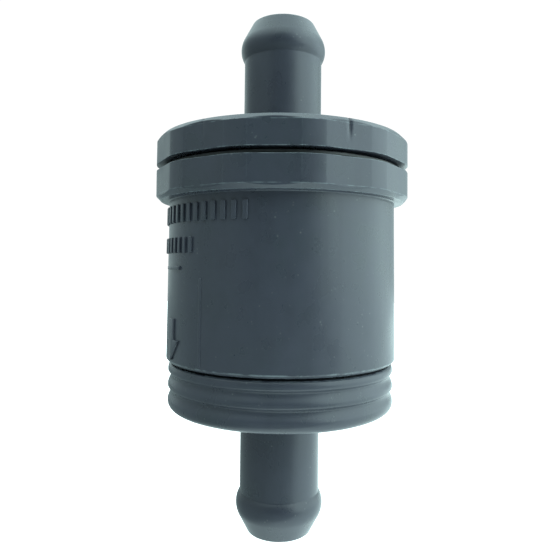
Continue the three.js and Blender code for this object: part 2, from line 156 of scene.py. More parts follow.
class FilterFinish(bpy.types.PropertyGroup):
    """Colours and surface qualities."""

    plastic: colour("Plastic", "Colour of the glass-filled housing plastic", (0.045, 0.049, 0.067))
    # The worn plastic's colour also paints a highlight on the rounded edges and creases
    plastic_wear_and_highlight: colour("Worn Plastic", "Colour of rubbed edges on the plastic", (0.20, 0.24, 0.26))
    rubber: colour("Rubber", "Colour of the sealing rings", (0.012, 0.012, 0.013))
    acetal: colour("Acetal", "Colour of the slip washer", (0.02, 0.021, 0.023))
    zinc: colour("Zinc", "Colour of the plated steel", (0.62, 0.63, 0.64))
    paper: colour("Paper", "Colour of the filter paper", (0.74, 0.62, 0.40))
    felt: colour("Felt", "Colour of the inner fleece", (0.83, 0.82, 0.77))
    resin: colour("Resin", "Colour of the potting", (0.55, 0.24, 0.045))
    roughness: fraction("Plastic Roughness", "Roughness of the housing plastic", 0.29)
    dust: fraction("Dust", "How much dust lies on the pieces", 0.3)


class FilterStudio(bpy.types.PropertyGroup):
    """Camera and light."""

    distance: size("Distance", "From the camera to the filter's axis", 114.56)
    offset: size("Offset", "How far the camera's line of sight passes to the right of the axis", 0.274)
    height: size("Height", "Height of the camera above mid-length", 1.5)
    clearance: size("Clearance", "From the floor up to the filter, which hangs over it", 150.0)
    turn: degrees("Turn", "Angle of the camera round the filter from its front", 3.15)
    pitch: degrees("Pitch", "Upward tilt of the camera", 2.047)
    roll: degrees("Roll", "Tilt of the camera about its line of sight", 0.587)
    lens: number("Lens", "Focal length of the camera, in millimetres", 35.52, min=1.0)
    rise: number("Rise", "Vertical shift of the lens, as a share of the sensor", -0.06)
    tint: colour("Tint", "Colour of the light", (0.78, 1.0, 1.0))
    surround: brightness("Surround", "Brightness of the surroundings", 0.5)
    right: brightness("Right", "Brightness of the soft light on the right", 2.4)
    above: brightness("Above", "Brightness of the soft light above", 1.6)
    back: brightness("Back", "Brightness of the wall behind the filter", 0.42)
    front: brightness("Front", "Brightness of the room behind the camera", 0.12)
    under: brightness("Under", "Brightness of the pool of light on the floor", 1.6)


# ---- Node building ------------------------------------------------------------------------------


def plug(tree, value, socket):
    """Joins a value to a node's socket, or sets the socket to it."""
    if isinstance(value, Number):
        tree.links.new(value.socket, socket)
    elif isinstance(value, bpy.types.NodeSocket):
        tree.links.new(value, socket)
    else:
        socket.default_value = value


def add(tree, kind, inputs=None, **settings):
    """A new node, with its settings and its inputs by name or number."""
    made = tree.nodes.new(kind)
    for name, value in settings.items():
        setattr(made, name, value)
    for name, value in (inputs or {}).items():
        plug(tree, value, made.inputs[name])
    return made


class Number:
    """A number in a node tree, so that a rule is written as plain arithmetic."""

    def __init__(self, tree, socket):
        self.tree = tree
        self.socket = socket

    def math(self, operation, *others, clamp=False):
        """What a Math node makes of this number and the others."""
        made = add(self.tree, "ShaderNodeMath", operation=operation, use_clamp=clamp)
        for value, socket in zip((self, *others), made.inputs):
            plug(self.tree, value, socket)
        return Number(self.tree, made.outputs[0])

    def __add__(self, other):
        return self.math("ADD", other)

    def __sub__(self, other):
        return self.math("SUBTRACT", other)

    def __mul__(self, other):
        return self.math("MULTIPLY", other)

    def __truediv__(self, other):
        return self.math("DIVIDE", other)

    def ramp(self, start, end, rise=1.0, smooth=False):
        """0 up to start, rise from end on, and a straight or smooth climb between them."""
        kind = "SMOOTHSTEP" if smooth else "LINEAR"
        inputs = {"Value": self, "From Min": start, "From Max": end, "To Min": 0.0, "To Max": rise}
        made = add(self.tree, "ShaderNodeMapRange", inputs, interpolation_type=kind)
        return Number(self.tree, made.outputs["Result"])


def read(tree, sockets):
    """A node's outputs by name, with the numbers among them ready for arithmetic."""
    return {s.name: Number(tree, s) if s.type in ("VALUE", "INT") else s for s in sockets}


def vector(tree, x=0.0, y=0.0, z=0.0):
    """A vector from three numbers."""
    return add(tree, "ShaderNodeCombineXYZ", {"X": x, "Y": y, "Z": z}).outputs[0]


def around(tree, radius, turn, height):
    """The point at a radius, a turn and a height about the axis."""
    return vector(tree, radius * turn.math("COSINE"), radius * turn.math("SINE"), height)


def noise(tree, place, scale, detail=2.0, distortion=0.0):
    """A cloudy number that varies from place to place."""
    inputs = {"Vector": place, "Scale": scale, "Detail": detail, "Distortion": distortion}
    return Number(tree, add(tree, "ShaderNodeTexNoise", inputs).outputs[0])


def once(store, name):
    """Makes the thing of that name in a store of the file once, and finds it again after that."""

    def keep(build):
        @functools.wraps(build)
        def found():
            things = getattr(bpy.data, store)
            return things[name] if name in things else build(name)

        return found

    return keep


def new_tree(name, kind, inputs, outputs):
    """A node group with named sockets: (name, type, default) in, (name, type) out."""
    tree = bpy.data.node_groups.new(name, kind)
    for label, socket_type, default in inputs:
        made = tree.interface.new_socket(label, in_out="INPUT", socket_type="NodeSocket" + socket_type)
        if default is not None:
            made.default_value = default
    for label, socket_type in outputs:
        tree.interface.new_socket(label, in_out="OUTPUT", socket_type="NodeSocket" + socket_type)
    given = read(tree, tree.nodes.new("NodeGroupInput").outputs)
    return tree, given, tree.nodes.new("NodeGroupOutput").inputs


def geometry_tree(name, *inputs):
    """A geometry tree with these inputs and a material."""
    inputs += (("Material", "Material", None),)
    return new_tree(name, "GeometryNodeTree", inputs, [("Geometry", "Geometry")])


def finish_geometry(tree, geometry, given, result):
    """Ends a geometry tree in plain, smooth geometry with its material."""
    real = add(tree, "GeometryNodeRealizeInstances", {"Geometry": geometry}).outputs[0]
    smooth = add(tree, "GeometryNodeSetShadeSmooth", {0: real}).outputs[0]
    inputs = {"Geometry": smooth, "Material": given["Material"]}
    plug(tree, add(tree, "GeometryNodeSetMaterial", inputs).outputs[0], result["Geometry"])
    return tree


def moved(tree, geometry, **where):
    """Geometry set to a Position, or shifted by an Offset."""
    inputs = {"Geometry": geometry, **where}
    return add(tree, "GeometryNodeSetPosition", inputs).outputs[0]


def shaped(obj, tree, **values):
    """Runs a geometry tree on an object and keeps what it makes as the object's own mesh."""
    modifier = obj.modifiers.new("Shape", "NODES")
    modifier.node_group = tree
    for item in tree.interface.items_tree:
        key = item.name.lower().replace(" ", "_")
        if item.item_type == "SOCKET" and item.in_out == "INPUT" and key in values:
            modifier[item.identifier] = values[key]
    return plain(obj)


def plain(obj):
    """Turns what an object's modifiers make into its own mesh."""
    depsgraph = bpy.context.evaluated_depsgraph_get()
    evaluated = obj.evaluated_get(depsgraph)
    mesh = bpy.data.meshes.new_from_object(
        evaluated, preserve_all_data_layers=True, depsgraph=depsgraph
    )
    old = obj.data
    obj.modifiers.clear()
    obj.data = mesh
    mesh.name = obj.name
    bpy.data.meshes.remove(old)
    return obj


def mesh_of(shape, name):
    """A mesh made from a shape under construction, which is given up."""
    mesh = bpy.data.meshes.new(name)
    shape.to_mesh(mesh)
    shape.free()
    return mesh


def new_object(name, mesh):
    """A new object in the scene."""
    obj = bpy.data.objects.new(name, mesh)
    bpy.context.scene.collection.objects.link(obj)
    return obj


# ---- Geometry trees -----------------------------------------------------------------------------

SECTORS = 12  # wrench flats round the rim and the collar
HALF_SECTOR = math.pi / SECTORS  # from the middle of a wrench flat to the middle of a land
LAND_EDGE = math.radians(10.25)  # from the middle of a flat to its edge
NOTCH_SIDE = math.radians(0.45)  # from the middle of a notch to its side
CREASE_SIDE = math.radians(0.3)  # from the edge of a land to where its crease ends
# Lightness of the creases between flats and lands: rubbed wear and a painted highlight
CREASE_WEAR_AND_HIGHLIGHT = 0.2
SHALLOW_NOTCH = 0.3  # depth of the first index notch, as a share of the second one's
WAVE_SCALE = 190.0  # waves to the metre


@once("node_groups", "Turned Piece")
def turned_tree(name):
    """An outline turned round the axis, with wrench flats, a screw thread and index notches by rule."""
    tree, given, result = geometry_tree(
        name,
        ("Outline", "Geometry", None),
        ("Closed", "Int", 1),
        ("Columns", "Int", 288),
        ("Land Radius", "Float", 1.0),
        ("Softness", "Float", 0.00008),
        ("Thread Pitch", "Float", 0.003),
        ("Thread Root", "Float", 0.0015),
        ("Thread Crest", "Float", 0.0007),
        ("Thread Start", "Float", 0.0),
        ("Notch Sector", "Int", 0),
        ("Notch Depth", "Float", 0.0),
        ("Waviness", "Float", 0.0),
    )
    counted = add(tree, "GeometryNodeAttributeDomainSize", {"Geometry": given["Outline"]})
    rows = Number(tree, counted.outputs["Point Count"])
    columns = given["Columns"]
    counts = {"Vertices X": rows + given["Closed"], "Vertices Y": columns + 1}
    grid = add(tree, "GeometryNodeMeshGrid", counts).outputs["Mesh"]
    index = Number(tree, add(tree, "GeometryNodeInputIndex").outputs[0])
    row = ((index + 0.5) / (columns + 1)).math("FLOOR")
    column = index - row * (columns + 1)
    source = row.math("FLOORED_MODULO", rows)

    def sampled(field, data_type):
        inputs = {"Geometry": given["Outline"], "Value": field, "Index": source}
        made = add(tree, "GeometryNodeSampleIndex", inputs, data_type=data_type, domain="POINT")
        return made.outputs["Value"]

    def sampled_attribute(label):
        field = add(tree, "GeometryNodeInputNamedAttribute", {"Name": label}, data_type="FLOAT")
        return Number(tree, sampled(field.outputs["Attribute"], "FLOAT"))

    position = add(tree, "GeometryNodeInputPosition").outputs[0]
    outline = add(tree, "ShaderNodeSeparateXYZ", {0: sampled(position, "FLOAT_VECTOR")})
    outline = read(tree, outline.outputs)
    radius, height = outline["X"], outline["Z"]

    # Columns gather at the edges of the lands and beside the middle of each flat
    half = columns / (2 * SECTORS)
    sector = (column / (half * 2)).math("ROUND")
    off = column - sector * half * 2
    part = off.math("ABSOLUTE") / half
    turn = (
        part.ramp(0, 1 / 12, NOTCH_SIDE)
        + part.ramp(1 / 12, 7 / 12, LAND_EDGE - CREASE_SIDE - NOTCH_SIDE)
        + part.ramp(7 / 12, 9 / 12, 2 * CREASE_SIDE)
        + part.ramp(9 / 12, 1, HALF_SECTOR - LAND_EDGE - CREASE_SIDE)
    )
    whole_turn = sector * (2 * HALF_SECTOR) + off.math("SIGN") * turn

    # Wrench flats: a plain wall is moved in to the chord, and a chamfer's cone is cut by it
    land = given["Land Radius"]
    chord = land * math.cos(LAND_EDGE) / turn.math("COSINE")
    cut = land - land.math("SMOOTH_MIN", chord, given["Softness"])
    on_flat = sampled_attribute("flat")
    on_cone = sampled_attribute("cone")
    shifted = radius - cut * on_flat
    sliced = radius.math("SMOOTH_MIN", chord, given["Softness"])
    walled = shifted + (sliced - shifted) * on_cone

    # Screw thread: a ridge that climbs one pitch a turn
    pitch, root = given["Thread Pitch"], given["Thread Root"]
    phase = (height - given["Thread Start"]) / pitch - whole_turn / TAU
    from_crest = (phase - phase.math("ROUND")).math("ABSOLUTE") * pitch
    flank = (root - given["Thread Crest"]) / 2
    ridge = ((root / 2 - from_crest) / flank).math("ADD", 0, clamp=True)
    threaded = walled + ridge * sampled_attribute("thread")

    # Index notches: the middle column sinks in on the flats either side of one, less on the first
    beside = sector - given["Notch Sector"]
    here = (beside.math("ABSOLUTE") - 1).math("ABSOLUTE").math("LESS_THAN", 0.5)
    middle = off.math("ABSOLUTE").math("LESS_THAN", 0.5)
    deep = beside.ramp(-1, 1, 1 - SHALLOW_NOTCH) + SHALLOW_NOTCH
    notch = here * middle * deep * sampled_attribute("notch") * given["Notch Depth"]

    # Slow waves left by the moulding
    wave = noise(tree, around(tree, threaded, whole_turn, height), WAVE_SCALE)
    final = threaded - notch + (wave - 0.5) * given["Waviness"] * 2

    # Edges rub bright and carry a painted highlight: those of the outline, and the creases between flats
    # and lands
    crease = (turn - LAND_EDGE).math("ABSOLUTE").math("LESS_THAN", CREASE_SIDE / 2)
    on_wall = on_flat.math("MAXIMUM", on_cone)
    wear = sampled_attribute("wear").math("MAXIMUM", crease * on_wall * CREASE_WEAR_AND_HIGHLIGHT)
    skin = moved(tree, grid, Position=around(tree, final, whole_turn, height))
    inputs = {"Geometry": skin, "Name": "wear", "Value": wear}
    kept = add(tree, "GeometryNodeStoreNamedAttribute", inputs, data_type="FLOAT", domain="POINT")
    inputs = {"Geometry": kept.outputs[0], "Distance": 1e-6}
    welded = add(tree, "GeometryNodeMergeByDistance", inputs)
    outward = add(tree, "GeometryNodeFlipFaces", {"Mesh": welded.outputs[0]})
    return finish_geometry(tree, outward.outputs[0], given, result)


@once("node_groups", "Copies Round The Axis")
def copies_tree(name):
    """Copies of one shape set round the axis, in one row or several."""
    tree, given, result = geometry_tree(
        name,
        ("Shape", "Geometry", None),
        ("Count", "Int", 12),
        ("Rows", "Int", 1),
        ("First Angle", "Float", 0.0),
        ("Step Angle", "Float", 0.1),
        ("Row Turn", "Float", 0.0),
        ("Row Rise", "Float", 0.0),
    )
    count = given["Count"]
    line = add(tree, "GeometryNodeMeshLine", {"Count": count * given["Rows"], "Offset": (0, 0, 0)})
    index = Number(tree, add(tree, "GeometryNodeInputIndex").outputs[0])
    row = ((index + 0.5) / count).math("FLOOR")
    in_row = index - row * count
    turn = given["First Angle"] + in_row * given["Step Angle"] + row * given["Row Turn"]
    spread = moved(tree, line.outputs[0], Position=vector(tree, z=row * given["Row Rise"]))
    inputs = {"Points": spread, "Instance": given["Shape"], "Rotation": vector(tree, z=turn)}
    copied = add(tree, "GeometryNodeInstanceOnPoints", inputs)
    return finish_geometry(tree, copied.outputs[0], given, result)


@once("node_groups", "Wire Coil")
def coil_tree(name):
    """A round wire wound round the axis, with one closed turn at each end when it has room for them."""
    tree, given, result = geometry_tree(
        name,
        ("Start", "Geometry", None),
        ("Turns", "Float", 5.0),
        ("Steps", "Int", 240),
        ("Coil Radius", "Float", 0.01),
        ("Wire Radius", "Float", 0.0005),
        ("Low", "Float", 0.0),
        ("Closed Rise", "Float", 0.0),
        ("Live Rise", "Float", 0.0),
    )
    turns = given["Turns"]
    line = add(tree, "GeometryNodeCurvePrimitiveLine", {"End": (0, 0, 1)})
    inputs = {"Curve": line.outputs[0], "Count": given["Steps"]}
    stepped = add(tree, "GeometryNodeResampleCurve", inputs)
    along = Number(tree, add(tree, "GeometryNodeSplineParameter").outputs["Factor"])
    wound = along * turns
    height = (
        given["Low"]
        + wound.ramp(0, 1, given["Closed Rise"])
        + wound.ramp(1, turns - 1, given["Live Rise"])
        + wound.ramp(turns - 1, turns, given["Closed Rise"])
    )
    place = around(tree, given["Coil Radius"], wound * TAU, height)
    wound_line = moved(tree, stepped.outputs[0], Position=place)
    inputs = {"Resolution": 20, "Radius": given["Wire Radius"]}
    section = add(tree, "GeometryNodeCurvePrimitiveCircle", inputs)
    inputs = {"Curve": wound_line, "Profile Curve": section.outputs[0], "Fill Caps": True}
    swept = add(tree, "GeometryNodeCurveToMesh", inputs)
    return finish_geometry(tree, swept.outputs[0], given, result)


@once("node_groups", "Pleated Paper")
def pleats_tree(name):
    """Paper folded into a star, with round folds."""
    tree, given, result = geometry_tree(
        name,
        ("Start", "Geometry", None),
        ("Pleats", "Int", 30),
        ("Inner Radius", "Float", 0.01),
        ("Outer Radius", "Float", 0.015),
        ("Fold Radius", "Float", 0.0003),
        ("Thickness", "Float", 0.0004),
        ("Low", "Float", 0.0),
        ("Tall", "Float", 0.018),
    )
    inputs = {"Points": given["Pleats"]}
    inputs.update({label: given[label] for label in ("Inner Radius", "Outer Radius")})
    star = add(tree, "GeometryNodeCurveStar", inputs)
    inputs = {"Curve": star.outputs["Curve"], "Radius": given["Fold Radius"]}
    inputs.update({"Limit Radius": True, "Count": 6})
    folded = add(tree, "GeometryNodeFilletCurve", inputs, mode="POLY")
    inputs = {"Width": given["Thickness"], "Height": given["Tall"]}
    section = add(tree, "GeometryNodeCurvePrimitiveQuadrilateral", inputs)
    inputs = {"Curve": folded.outputs[0], "Profile Curve": section.outputs[0]}
    swept = add(tree, "GeometryNodeCurveToMesh", inputs)
    middle = given["Low"] + given["Tall"] / 2
    raised = moved(tree, swept.outputs[0], Offset=vector(tree, z=middle))
    return finish_geometry(tree, raised, given, result)


# ---- Outlines -----------------------------------------------------------------------------------

SUPPORT = 0.07  # from the end of a long straight to the row that holds its shading flat
STRAIGHT = math.radians(89)  # half the angle of a corner that needs no round
ARC_STEP = math.radians(20)  # most that a round turns from row to row
UNDIVIDED = 9  # a step longer than any straight
LEAD_ANGLE = 28  # slope of a spigot's lead-in cone
ROOT_ROUND = 0.45
TIP_ROUND = 0.45
PORT_ROUND = 0.3


def rounded(corners, closed=True):
    """Rows of (radius, height, wear) along an outline of (radius, height, round, step) corners.

    Each corner gets its round, and each straight is divided into steps. The outline runs anticlockwise,
    so that a corner that turns left stands out and wears, and takes the plastic's painted edge highlight.
    """
    count = len(corners)
    arcs = []
    for i, (radius, height, fillet, _) in enumerate(corners):
        here = Vector((radius, height))
        back = Vector(corners[i - 1][:2]) - here
        ahead = Vector(corners[(i + 1) % count][:2]) - here
        end = not closed and i in (0, count - 1)
        half = 0 if end else back.angle(ahead) / 2
        if fillet == 0 or end or half > STRAIGHT:
            arcs.append([(here, 0.0)])
            continue
        room = 0.45 * min(back.length, ahead.length)
        cut = min(fillet / math.tan(half), room)
        out = (back.normalized() + ahead.normalized()).normalized()
        centre = here + out * cut / math.cos(half)
        spoke = here + back.normalized() * cut - centre
        sweep = math.pi - 2 * half
        side = math.copysign(1, ahead.x * back.y - ahead.y * back.x)
        steps = max(2, math.ceil(sweep / ARC_STEP))
        swings = (Matrix.Rotation(side * sweep * k / steps, 2) for k in range(steps + 1))
        arcs.append([(centre + swing @ spoke, side) for swing in swings])
    rows = []
    for i, arc in enumerate(arcs):
        rows += [(p.x, p.y, wear) for p, wear in arc]
        if not closed and i == count - 1:
            break
        start = arc[-1][0]
        run = arcs[(i + 1) % count][0][0] - start
        length = run.length
        parts = round(length / corners[i][3])
        stops = [length * k / parts for k in range(1, parts)]
        if length > 6 * SUPPORT:
            stops = [s for s in stops if 2 * SUPPORT < s < length - 2 * SUPPORT]
            stops = [SUPPORT, *stops, length - SUPPORT]
        rows += [(*(start + run * (s / length)), 0.0) for s in stops]
    return rows


def turned(name, corners, material, closed=True, rules=None, **values):
    """An object made by turning an outline in millimetres round the axis."""
    rows = rounded(corners, closed)
    mesh = bpy.data.meshes.new(name)
    mesh.from_pydata([(r * MM, 0, z * MM) for r, z, _ in rows], [], [])
    rules = rules or {}
    for label in ("flat", "cone", "thread", "notch"):
        rule = rules.get(label, lambda r, z: 0.0)
        attribute = mesh.attributes.new(label, "FLOAT", "POINT")
        attribute.data.foreach_set("value", [rule(r, z) for r, z, _ in rows])
    # The wear attribute marks edges for rubbed wear, dust in hollows and the plastic's painted edge
    # highlight
    wear = mesh.attributes.new("wear", "FLOAT", "POINT")
    wear.data.foreach_set("value", [w for _, _, w in rows])
    obj = new_object(name, mesh)
    values.setdefault("columns", 144)
    return shaped(obj, turned_tree(), closed=int(closed), material=material, **values)


def between(value, start, end):
    """0 below start, 1 above end, and a straight climb between them."""
    return min(1.0, max(0.0, (value - start) / (end - start)))


def arc_corners(centre_r, centre_z, radius, start, end, count):
    """Corners along an arc, from one angle to another in degrees."""
    made = []
    for i in range(count + 1):
        turn = math.radians(start + (end - start) * i / count)
        r = centre_r + radius * math.cos(turn)
        z = centre_z + radius * math.sin(turn)
        made.append((r, z, 0, UNDIVIDED))
    return made


def spigot_corners(sizes, root, way):
    """A spigot's outside from its root to its port, for way 1 upwards or -1 downwards."""
    stem = sizes.stem_radius / MM
    step = sizes.barb_step / MM
    bulge = sizes.bulge_height / MM
    lead = sizes.lead_arc / MM
    length = (sizes.stem_length + sizes.barb_length) / MM
    widest = sizes.stem_length / MM + bulge
    swell = (step**2 + bulge**2) / (2 * step)
    swing = math.degrees(math.asin(bulge / swell))
    below = arc_corners(stem + step - swell, widest, swell, -swing, 0, 14)
    above = arc_corners(stem + step - lead, widest, lead, 0, LEAD_ANGLE, 10)[1:]
    cone_r, cone_z = above[-1][:2]
    tip = cone_r - math.tan(math.radians(LEAD_ANGLE)) * (length - cone_z)
    port = sizes.port_radius / MM
    corners = [(stem, 0, ROOT_ROUND, 1.2), *below, *above]
    corners += [(tip, length, TIP_ROUND, 0.4), (port, length, PORT_ROUND, 4)]
    return [(r, root + way * z, fillet, s) for r, z, fillet, s in corners]


# ---- Sizes that the frame's boxes do not give, in millimetres ------------------------------------

CHAMBER = 20.0  # radius of the sleeve's bore
MOUTH = 21.0  # radius of its threaded mouth
GLAND = 24.1  # radius of the recess for the cap's seal
GLAND_DEPTH = 2.2
MOUTH_DEPTH = 10.5
PLUG = 19.7  # radius of the cap's plug, and of the outlet end's
PLUG_BORE = 17.1
CAP_ROOF = 3.2  # thickness of the cap's roof
THREAD_DEPTH = 1.0
THREAD_PITCH = 3.0
THREAD_ROOT = 1.5
RIM_CHAMFER = 1.0
COLLAR_CHAMFER = 0.9
LIP_CHAMFER = 0.5
SKIRT_BORE = 17.0  # of the skirt inside the sleeve, above the outlet end
SKIRT_HEIGHT = 6.6
FLOOR = 3.0  # thickness of the outlet end's floor
SEAT = (8.85, 2.2)  # radius and height of the boss round the nozzle
NOZZLE = (6.45, 6.0)  # radius and height
SEAL_GROOVE = (18.2, 1.0, 3.4)  # radius, and its two sides above the joint
SNAP_GROOVE = (0.65, 5.0)  # half its width, and its middle above the joint
JOINT_GAP = 0.3  # room left between pieces that fit together
LIP_DROP = 0.2  # how far the lip and the ribs hang below their drawn places
END_RISE = 0.15  # how far the bottom face and its spigot stand above their drawn places
END_ROUND = 1.7  # round of the bottom edge
RIB_CREST = 22.6  # radius of the ribs
RIB_GAP = 0.5  # from the lip down to the top of the first rib
RIB_COUNT = 3
RIB_STEPS = 20  # rows to a rib
RIB_RAISE = 0.06  # how far the ribs stand above an even spacing
RIB_UPPER = (0.0, 0.62)  # share of a pitch, up from a crest, over which the wall sinks in
RIB_LOWER = (0.62, 0.9)  # and over which it comes out again to the next crest
NOTCH_SECTOR = 9  # the front flat, between the two that carry index notches
NOTCH_SPAN = (1.6, 4.6)  # from where a notch begins to where it is full, above the rim's lower edge
NOTCH_DEPTH = 0.45


def levels(sizes):
    """Heights shared by the moulded pieces, in millimetres, from the frame and the sizes."""
    spigot = (sizes.stem_length + sizes.barb_length) / MM
    top = high("inlet_cap") - spigot
    mouth = high("housing_body")
    joint = low("housing_body")
    return {
        "top": top,
        "rim": top - sizes.rim_height / MM,
        "mouth": mouth,
        "collar": mouth - sizes.collar_height / MM,
        "joint": joint,
        "lip": joint - LIP_DROP,
        "end": low("outlet_end") + spigot + END_RISE,
        "shoulder": mouth - MOUTH_DEPTH,
        "gland": mouth - GLAND_DEPTH,
    }


def thread_values(at, shift):
    """The screw thread's start and pitch, with its ridge shifted up by a share of the pitch."""
    start = at["shoulder"] + (THREAD_ROOT + JOINT_GAP) / 2 + shift * THREAD_PITCH
    return {"thread_start": start * MM, "thread_pitch": THREAD_PITCH * MM}


# ---- Moulded pieces -----------------------------------------------------------------------------


def make_inlet_cap(sizes):
    """The cap: its plug with the thread, its flatted rim and its spigot."""
    at = levels(sizes)
    land = sizes.land_radius / MM
    edge = sizes.edge_round / MM
    plug_end = low("inlet_cap")
    roof = at["top"] - CAP_ROOF
    chamfer = at["top"] - RIM_CHAMFER
    corners = [
        (sizes.port_radius / MM, roof, 0.3, 2),
        (PLUG_BORE, roof, 0.6, 2),
        (PLUG_BORE, plug_end, 0.3, 2),
        (PLUG, plug_end, 0.5, 0.14),
        (PLUG, at["rim"], 0.2, 1.2),
        (land, at["rim"], edge, 0.9),
        (land, chamfer, 0.12, 0.085),
        (land - RIM_CHAMFER, at["top"], 0.14, 2.4),
        *spigot_corners(sizes, at["top"], 1),
    ]
    last = at["gland"] + 0.5

    def flat(r, z):
        return between(r, land - 2, land - 0.5) if at["rim"] - 0.01 <= z <= chamfer else 0.0

    def cone(r, z):
        return 1.0 if z > chamfer and r > land - 1.3 else 0.0

    def thread(r, z):
        if abs(r - PLUG) > 0.01:
            return 0.0
        fade = between(z, plug_end + 0.5, plug_end + 1.4) * (1 - between(z, last, last + 0.8))
        return THREAD_DEPTH * MM * fade

    def notch(r, z):
        if r < land - 1.2:
            return 0.0
        return between(z - at["rim"], *NOTCH_SPAN)

    return turned(
        "inlet_cap_moulding",
        corners,
        plastic_material(),
        rules={"flat": flat, "cone": cone, "thread": thread, "notch": notch},
        columns=288,
        land_radius=sizes.land_radius,
        waviness=sizes.waviness,
        notch_sector=NOTCH_SECTOR,
        notch_depth=NOTCH_DEPTH * MM,
        **thread_values(at, 0.5),
    )


def make_housing(sizes):
    """The housing: the sleeve with its lip, the flatted collar and the threaded mouth."""
    at = levels(sizes)
    land = sizes.land_radius / MM
    edge = sizes.edge_round / MM
    sleeve = sizes.sleeve_radius / MM
    lip = sizes.lip_radius / MM
    chamfer = at["collar"] + COLLAR_CHAMFER
    snap_room, snap_rise = SNAP_GROOVE
    snap = at["joint"] + snap_rise
    corners = [
        (CHAMBER, at["lip"], 0.15, 1),
        (lip - LIP_CHAMFER, at["lip"], 0.25, 0.5),
        (lip, at["lip"] + LIP_CHAMFER, 0.35, 1.1),
        (sleeve, at["collar"], 0.25, 0.7),
        (land - COLLAR_CHAMFER, at["collar"], 0.14, 0.085),
        (land, chamfer, 0.12, 0.9),
        (land, at["mouth"], edge, 0.7),
        (GLAND, at["mouth"], 0.15, 1),
        (GLAND, at["gland"], 0.2, 1),
        (MOUTH, at["gland"], 0.2, 0.14),
        (MOUTH, at["shoulder"], 0.2, 0.5),
        (CHAMBER, at["shoulder"] - 1, 0.3, 3),
        (CHAMBER, snap + snap_room, 0.1, 1),
        (CHAMBER + 0.5, snap + snap_room, 0.2, 1),
        (CHAMBER + 0.5, snap - snap_room, 0.2, 1),
        (CHAMBER, snap - snap_room, 0.1, 2),
    ]

    def flat(r, z):
        return between(r, land - 1.3, land - 0.5) if z >= chamfer else 0.0

    def cone(r, z):
        return 1.0 if at["collar"] - 0.01 < z < chamfer and r > land - 1.3 else 0.0

    def thread(r, z):
        if abs(r - MOUTH) > 0.01:
            return 0.0
        first = at["shoulder"] + 0.3
        last = at["gland"] - 0.3
        return -THREAD_DEPTH * MM * between(z, first, first + 0.8) * (1 - between(z, last - 0.8, last))

    return turned(
        "housing_moulding",
        corners,
        plastic_material(),
        rules={"flat": flat, "cone": cone, "thread": thread},
        columns=288,
        land_radius=sizes.land_radius,
        waviness=sizes.waviness,
        **thread_values(at, 0),
    )


def rib_wave(climb):
    """How far into the groove, from 0 to 1, the wall lies at this share of a pitch above a crest."""
    phase = climb % 1
    depth = between(phase, *RIB_UPPER) - between(phase, *RIB_LOWER)
    return depth * depth * (3 - 2 * depth)


def make_outlet_end(sizes):
    """The outlet end: its spigot, its ribs, the plug in the sleeve and the nozzle inside."""
    at = levels(sizes)
    crest = RIB_CREST
    pitch = sizes.rib_pitch / MM
    depth = sizes.rib_depth / MM
    top = at["lip"] - RIB_GAP
    first = at["lip"] - pitch / 2 + RIB_RAISE
    lowest = first - (RIB_COUNT - 1) * pitch
    groove_r, groove_low, groove_high = SEAL_GROOVE
    snap_room, snap_rise = SNAP_GROOVE
    snap = at["joint"] + snap_rise
    skirt_top = at["joint"] + SKIRT_HEIGHT
    floor = at["end"] + FLOOR
    seat_top = floor + SEAT[1]
    nozzle_top = seat_top + NOZZLE[1]
    bottom = spigot_corners(sizes, at["end"], -1)
    ribs = []
    for i in range(int((RIB_COUNT - 0.5) * RIB_STEPS) + 1):
        z = lowest + i * pitch / RIB_STEPS
        if z < top - 0.1:
            ribs.append((crest - depth * rib_wave(i / RIB_STEPS), z, 0, UNDIVIDED))
    corners = [
        *reversed(bottom),
        *arc_corners(crest - END_ROUND, at["end"] + END_ROUND, END_ROUND, -90, 0, 10),
        *ribs,
        (crest - depth, top, 0.1, 0.6),
        (PLUG, top, 0.15, 1),
        (PLUG, at["joint"] + groove_low, 0.1, 1),
        (groove_r, at["joint"] + groove_low, 0.2, 1),
        (groove_r, at["joint"] + groove_high, 0.2, 1),
        (PLUG, at["joint"] + groove_high, 0.1, 1),
        (PLUG, snap - snap_room, 0.1, 1),
        (PLUG - 0.5, snap - snap_room, 0.2, 1),
        (PLUG - 0.5, snap + snap_room, 0.2, 1),
        (PLUG, snap + snap_room, 0.1, 1),
        (PLUG, skirt_top, 0.4, 1),
        (SKIRT_BORE, skirt_top, 0.3, 2),
        (SKIRT_BORE, floor, 0.8, 2),
        (SEAT[0], floor, 0.4, 1),
        (SEAT[0], seat_top, 0.2, 1),
        (NOZZLE[0], seat_top, 0.2, 1),
        (NOZZLE[0], nozzle_top, 0.4, 0.4),
        (sizes.port_radius / MM, nozzle_top, 0.2, 4),
    ]
    material = plastic_material()
    return turned("outlet_end_moulding", corners, material, columns=288, waviness=sizes.waviness)


# ---- Raised marks -------------------------------------------------------------------------------

TICK_ROWS = (  # count, width, height, first angle, last angle and drop under the collar
    (15, 0.95, 3.3, -84.0, -12.5, 1.55),
    (10, 0.8, 2.9, -84.0, -41.5, 7.6),
)
TICK_CORNER = 0.2  # round of a tick's corners as seen from the front
TICK_SOFT = 0.12  # round of a tick's top edges
BAR_SIZE = (6.5, 0.7)
BAR_DROP = 13.6  # from the collar down to the bar
MARK_TURN = -58.0  # degrees round from the front to the middle of the bar and the arrow
ARROW_SIZE = (6.4, 7.6)
ARROW_LIFT = 0.6  # from the lip's chamfer up to the arrow's tip
LINE_TURN = -34.8
LINE_SIZE = (0.7, 15.5)
LINE_LIFT = 0.9  # from the lip up to the line
LINE_HEIGHT = 0.12
MARK_CORNER = 0.3
MARK_SOFT = 0.14
SUNK = 0.3  # how far the marks reach into the sleeve
CUT_STEP = 0.7  # width of the strips that follow the sleeve's curve


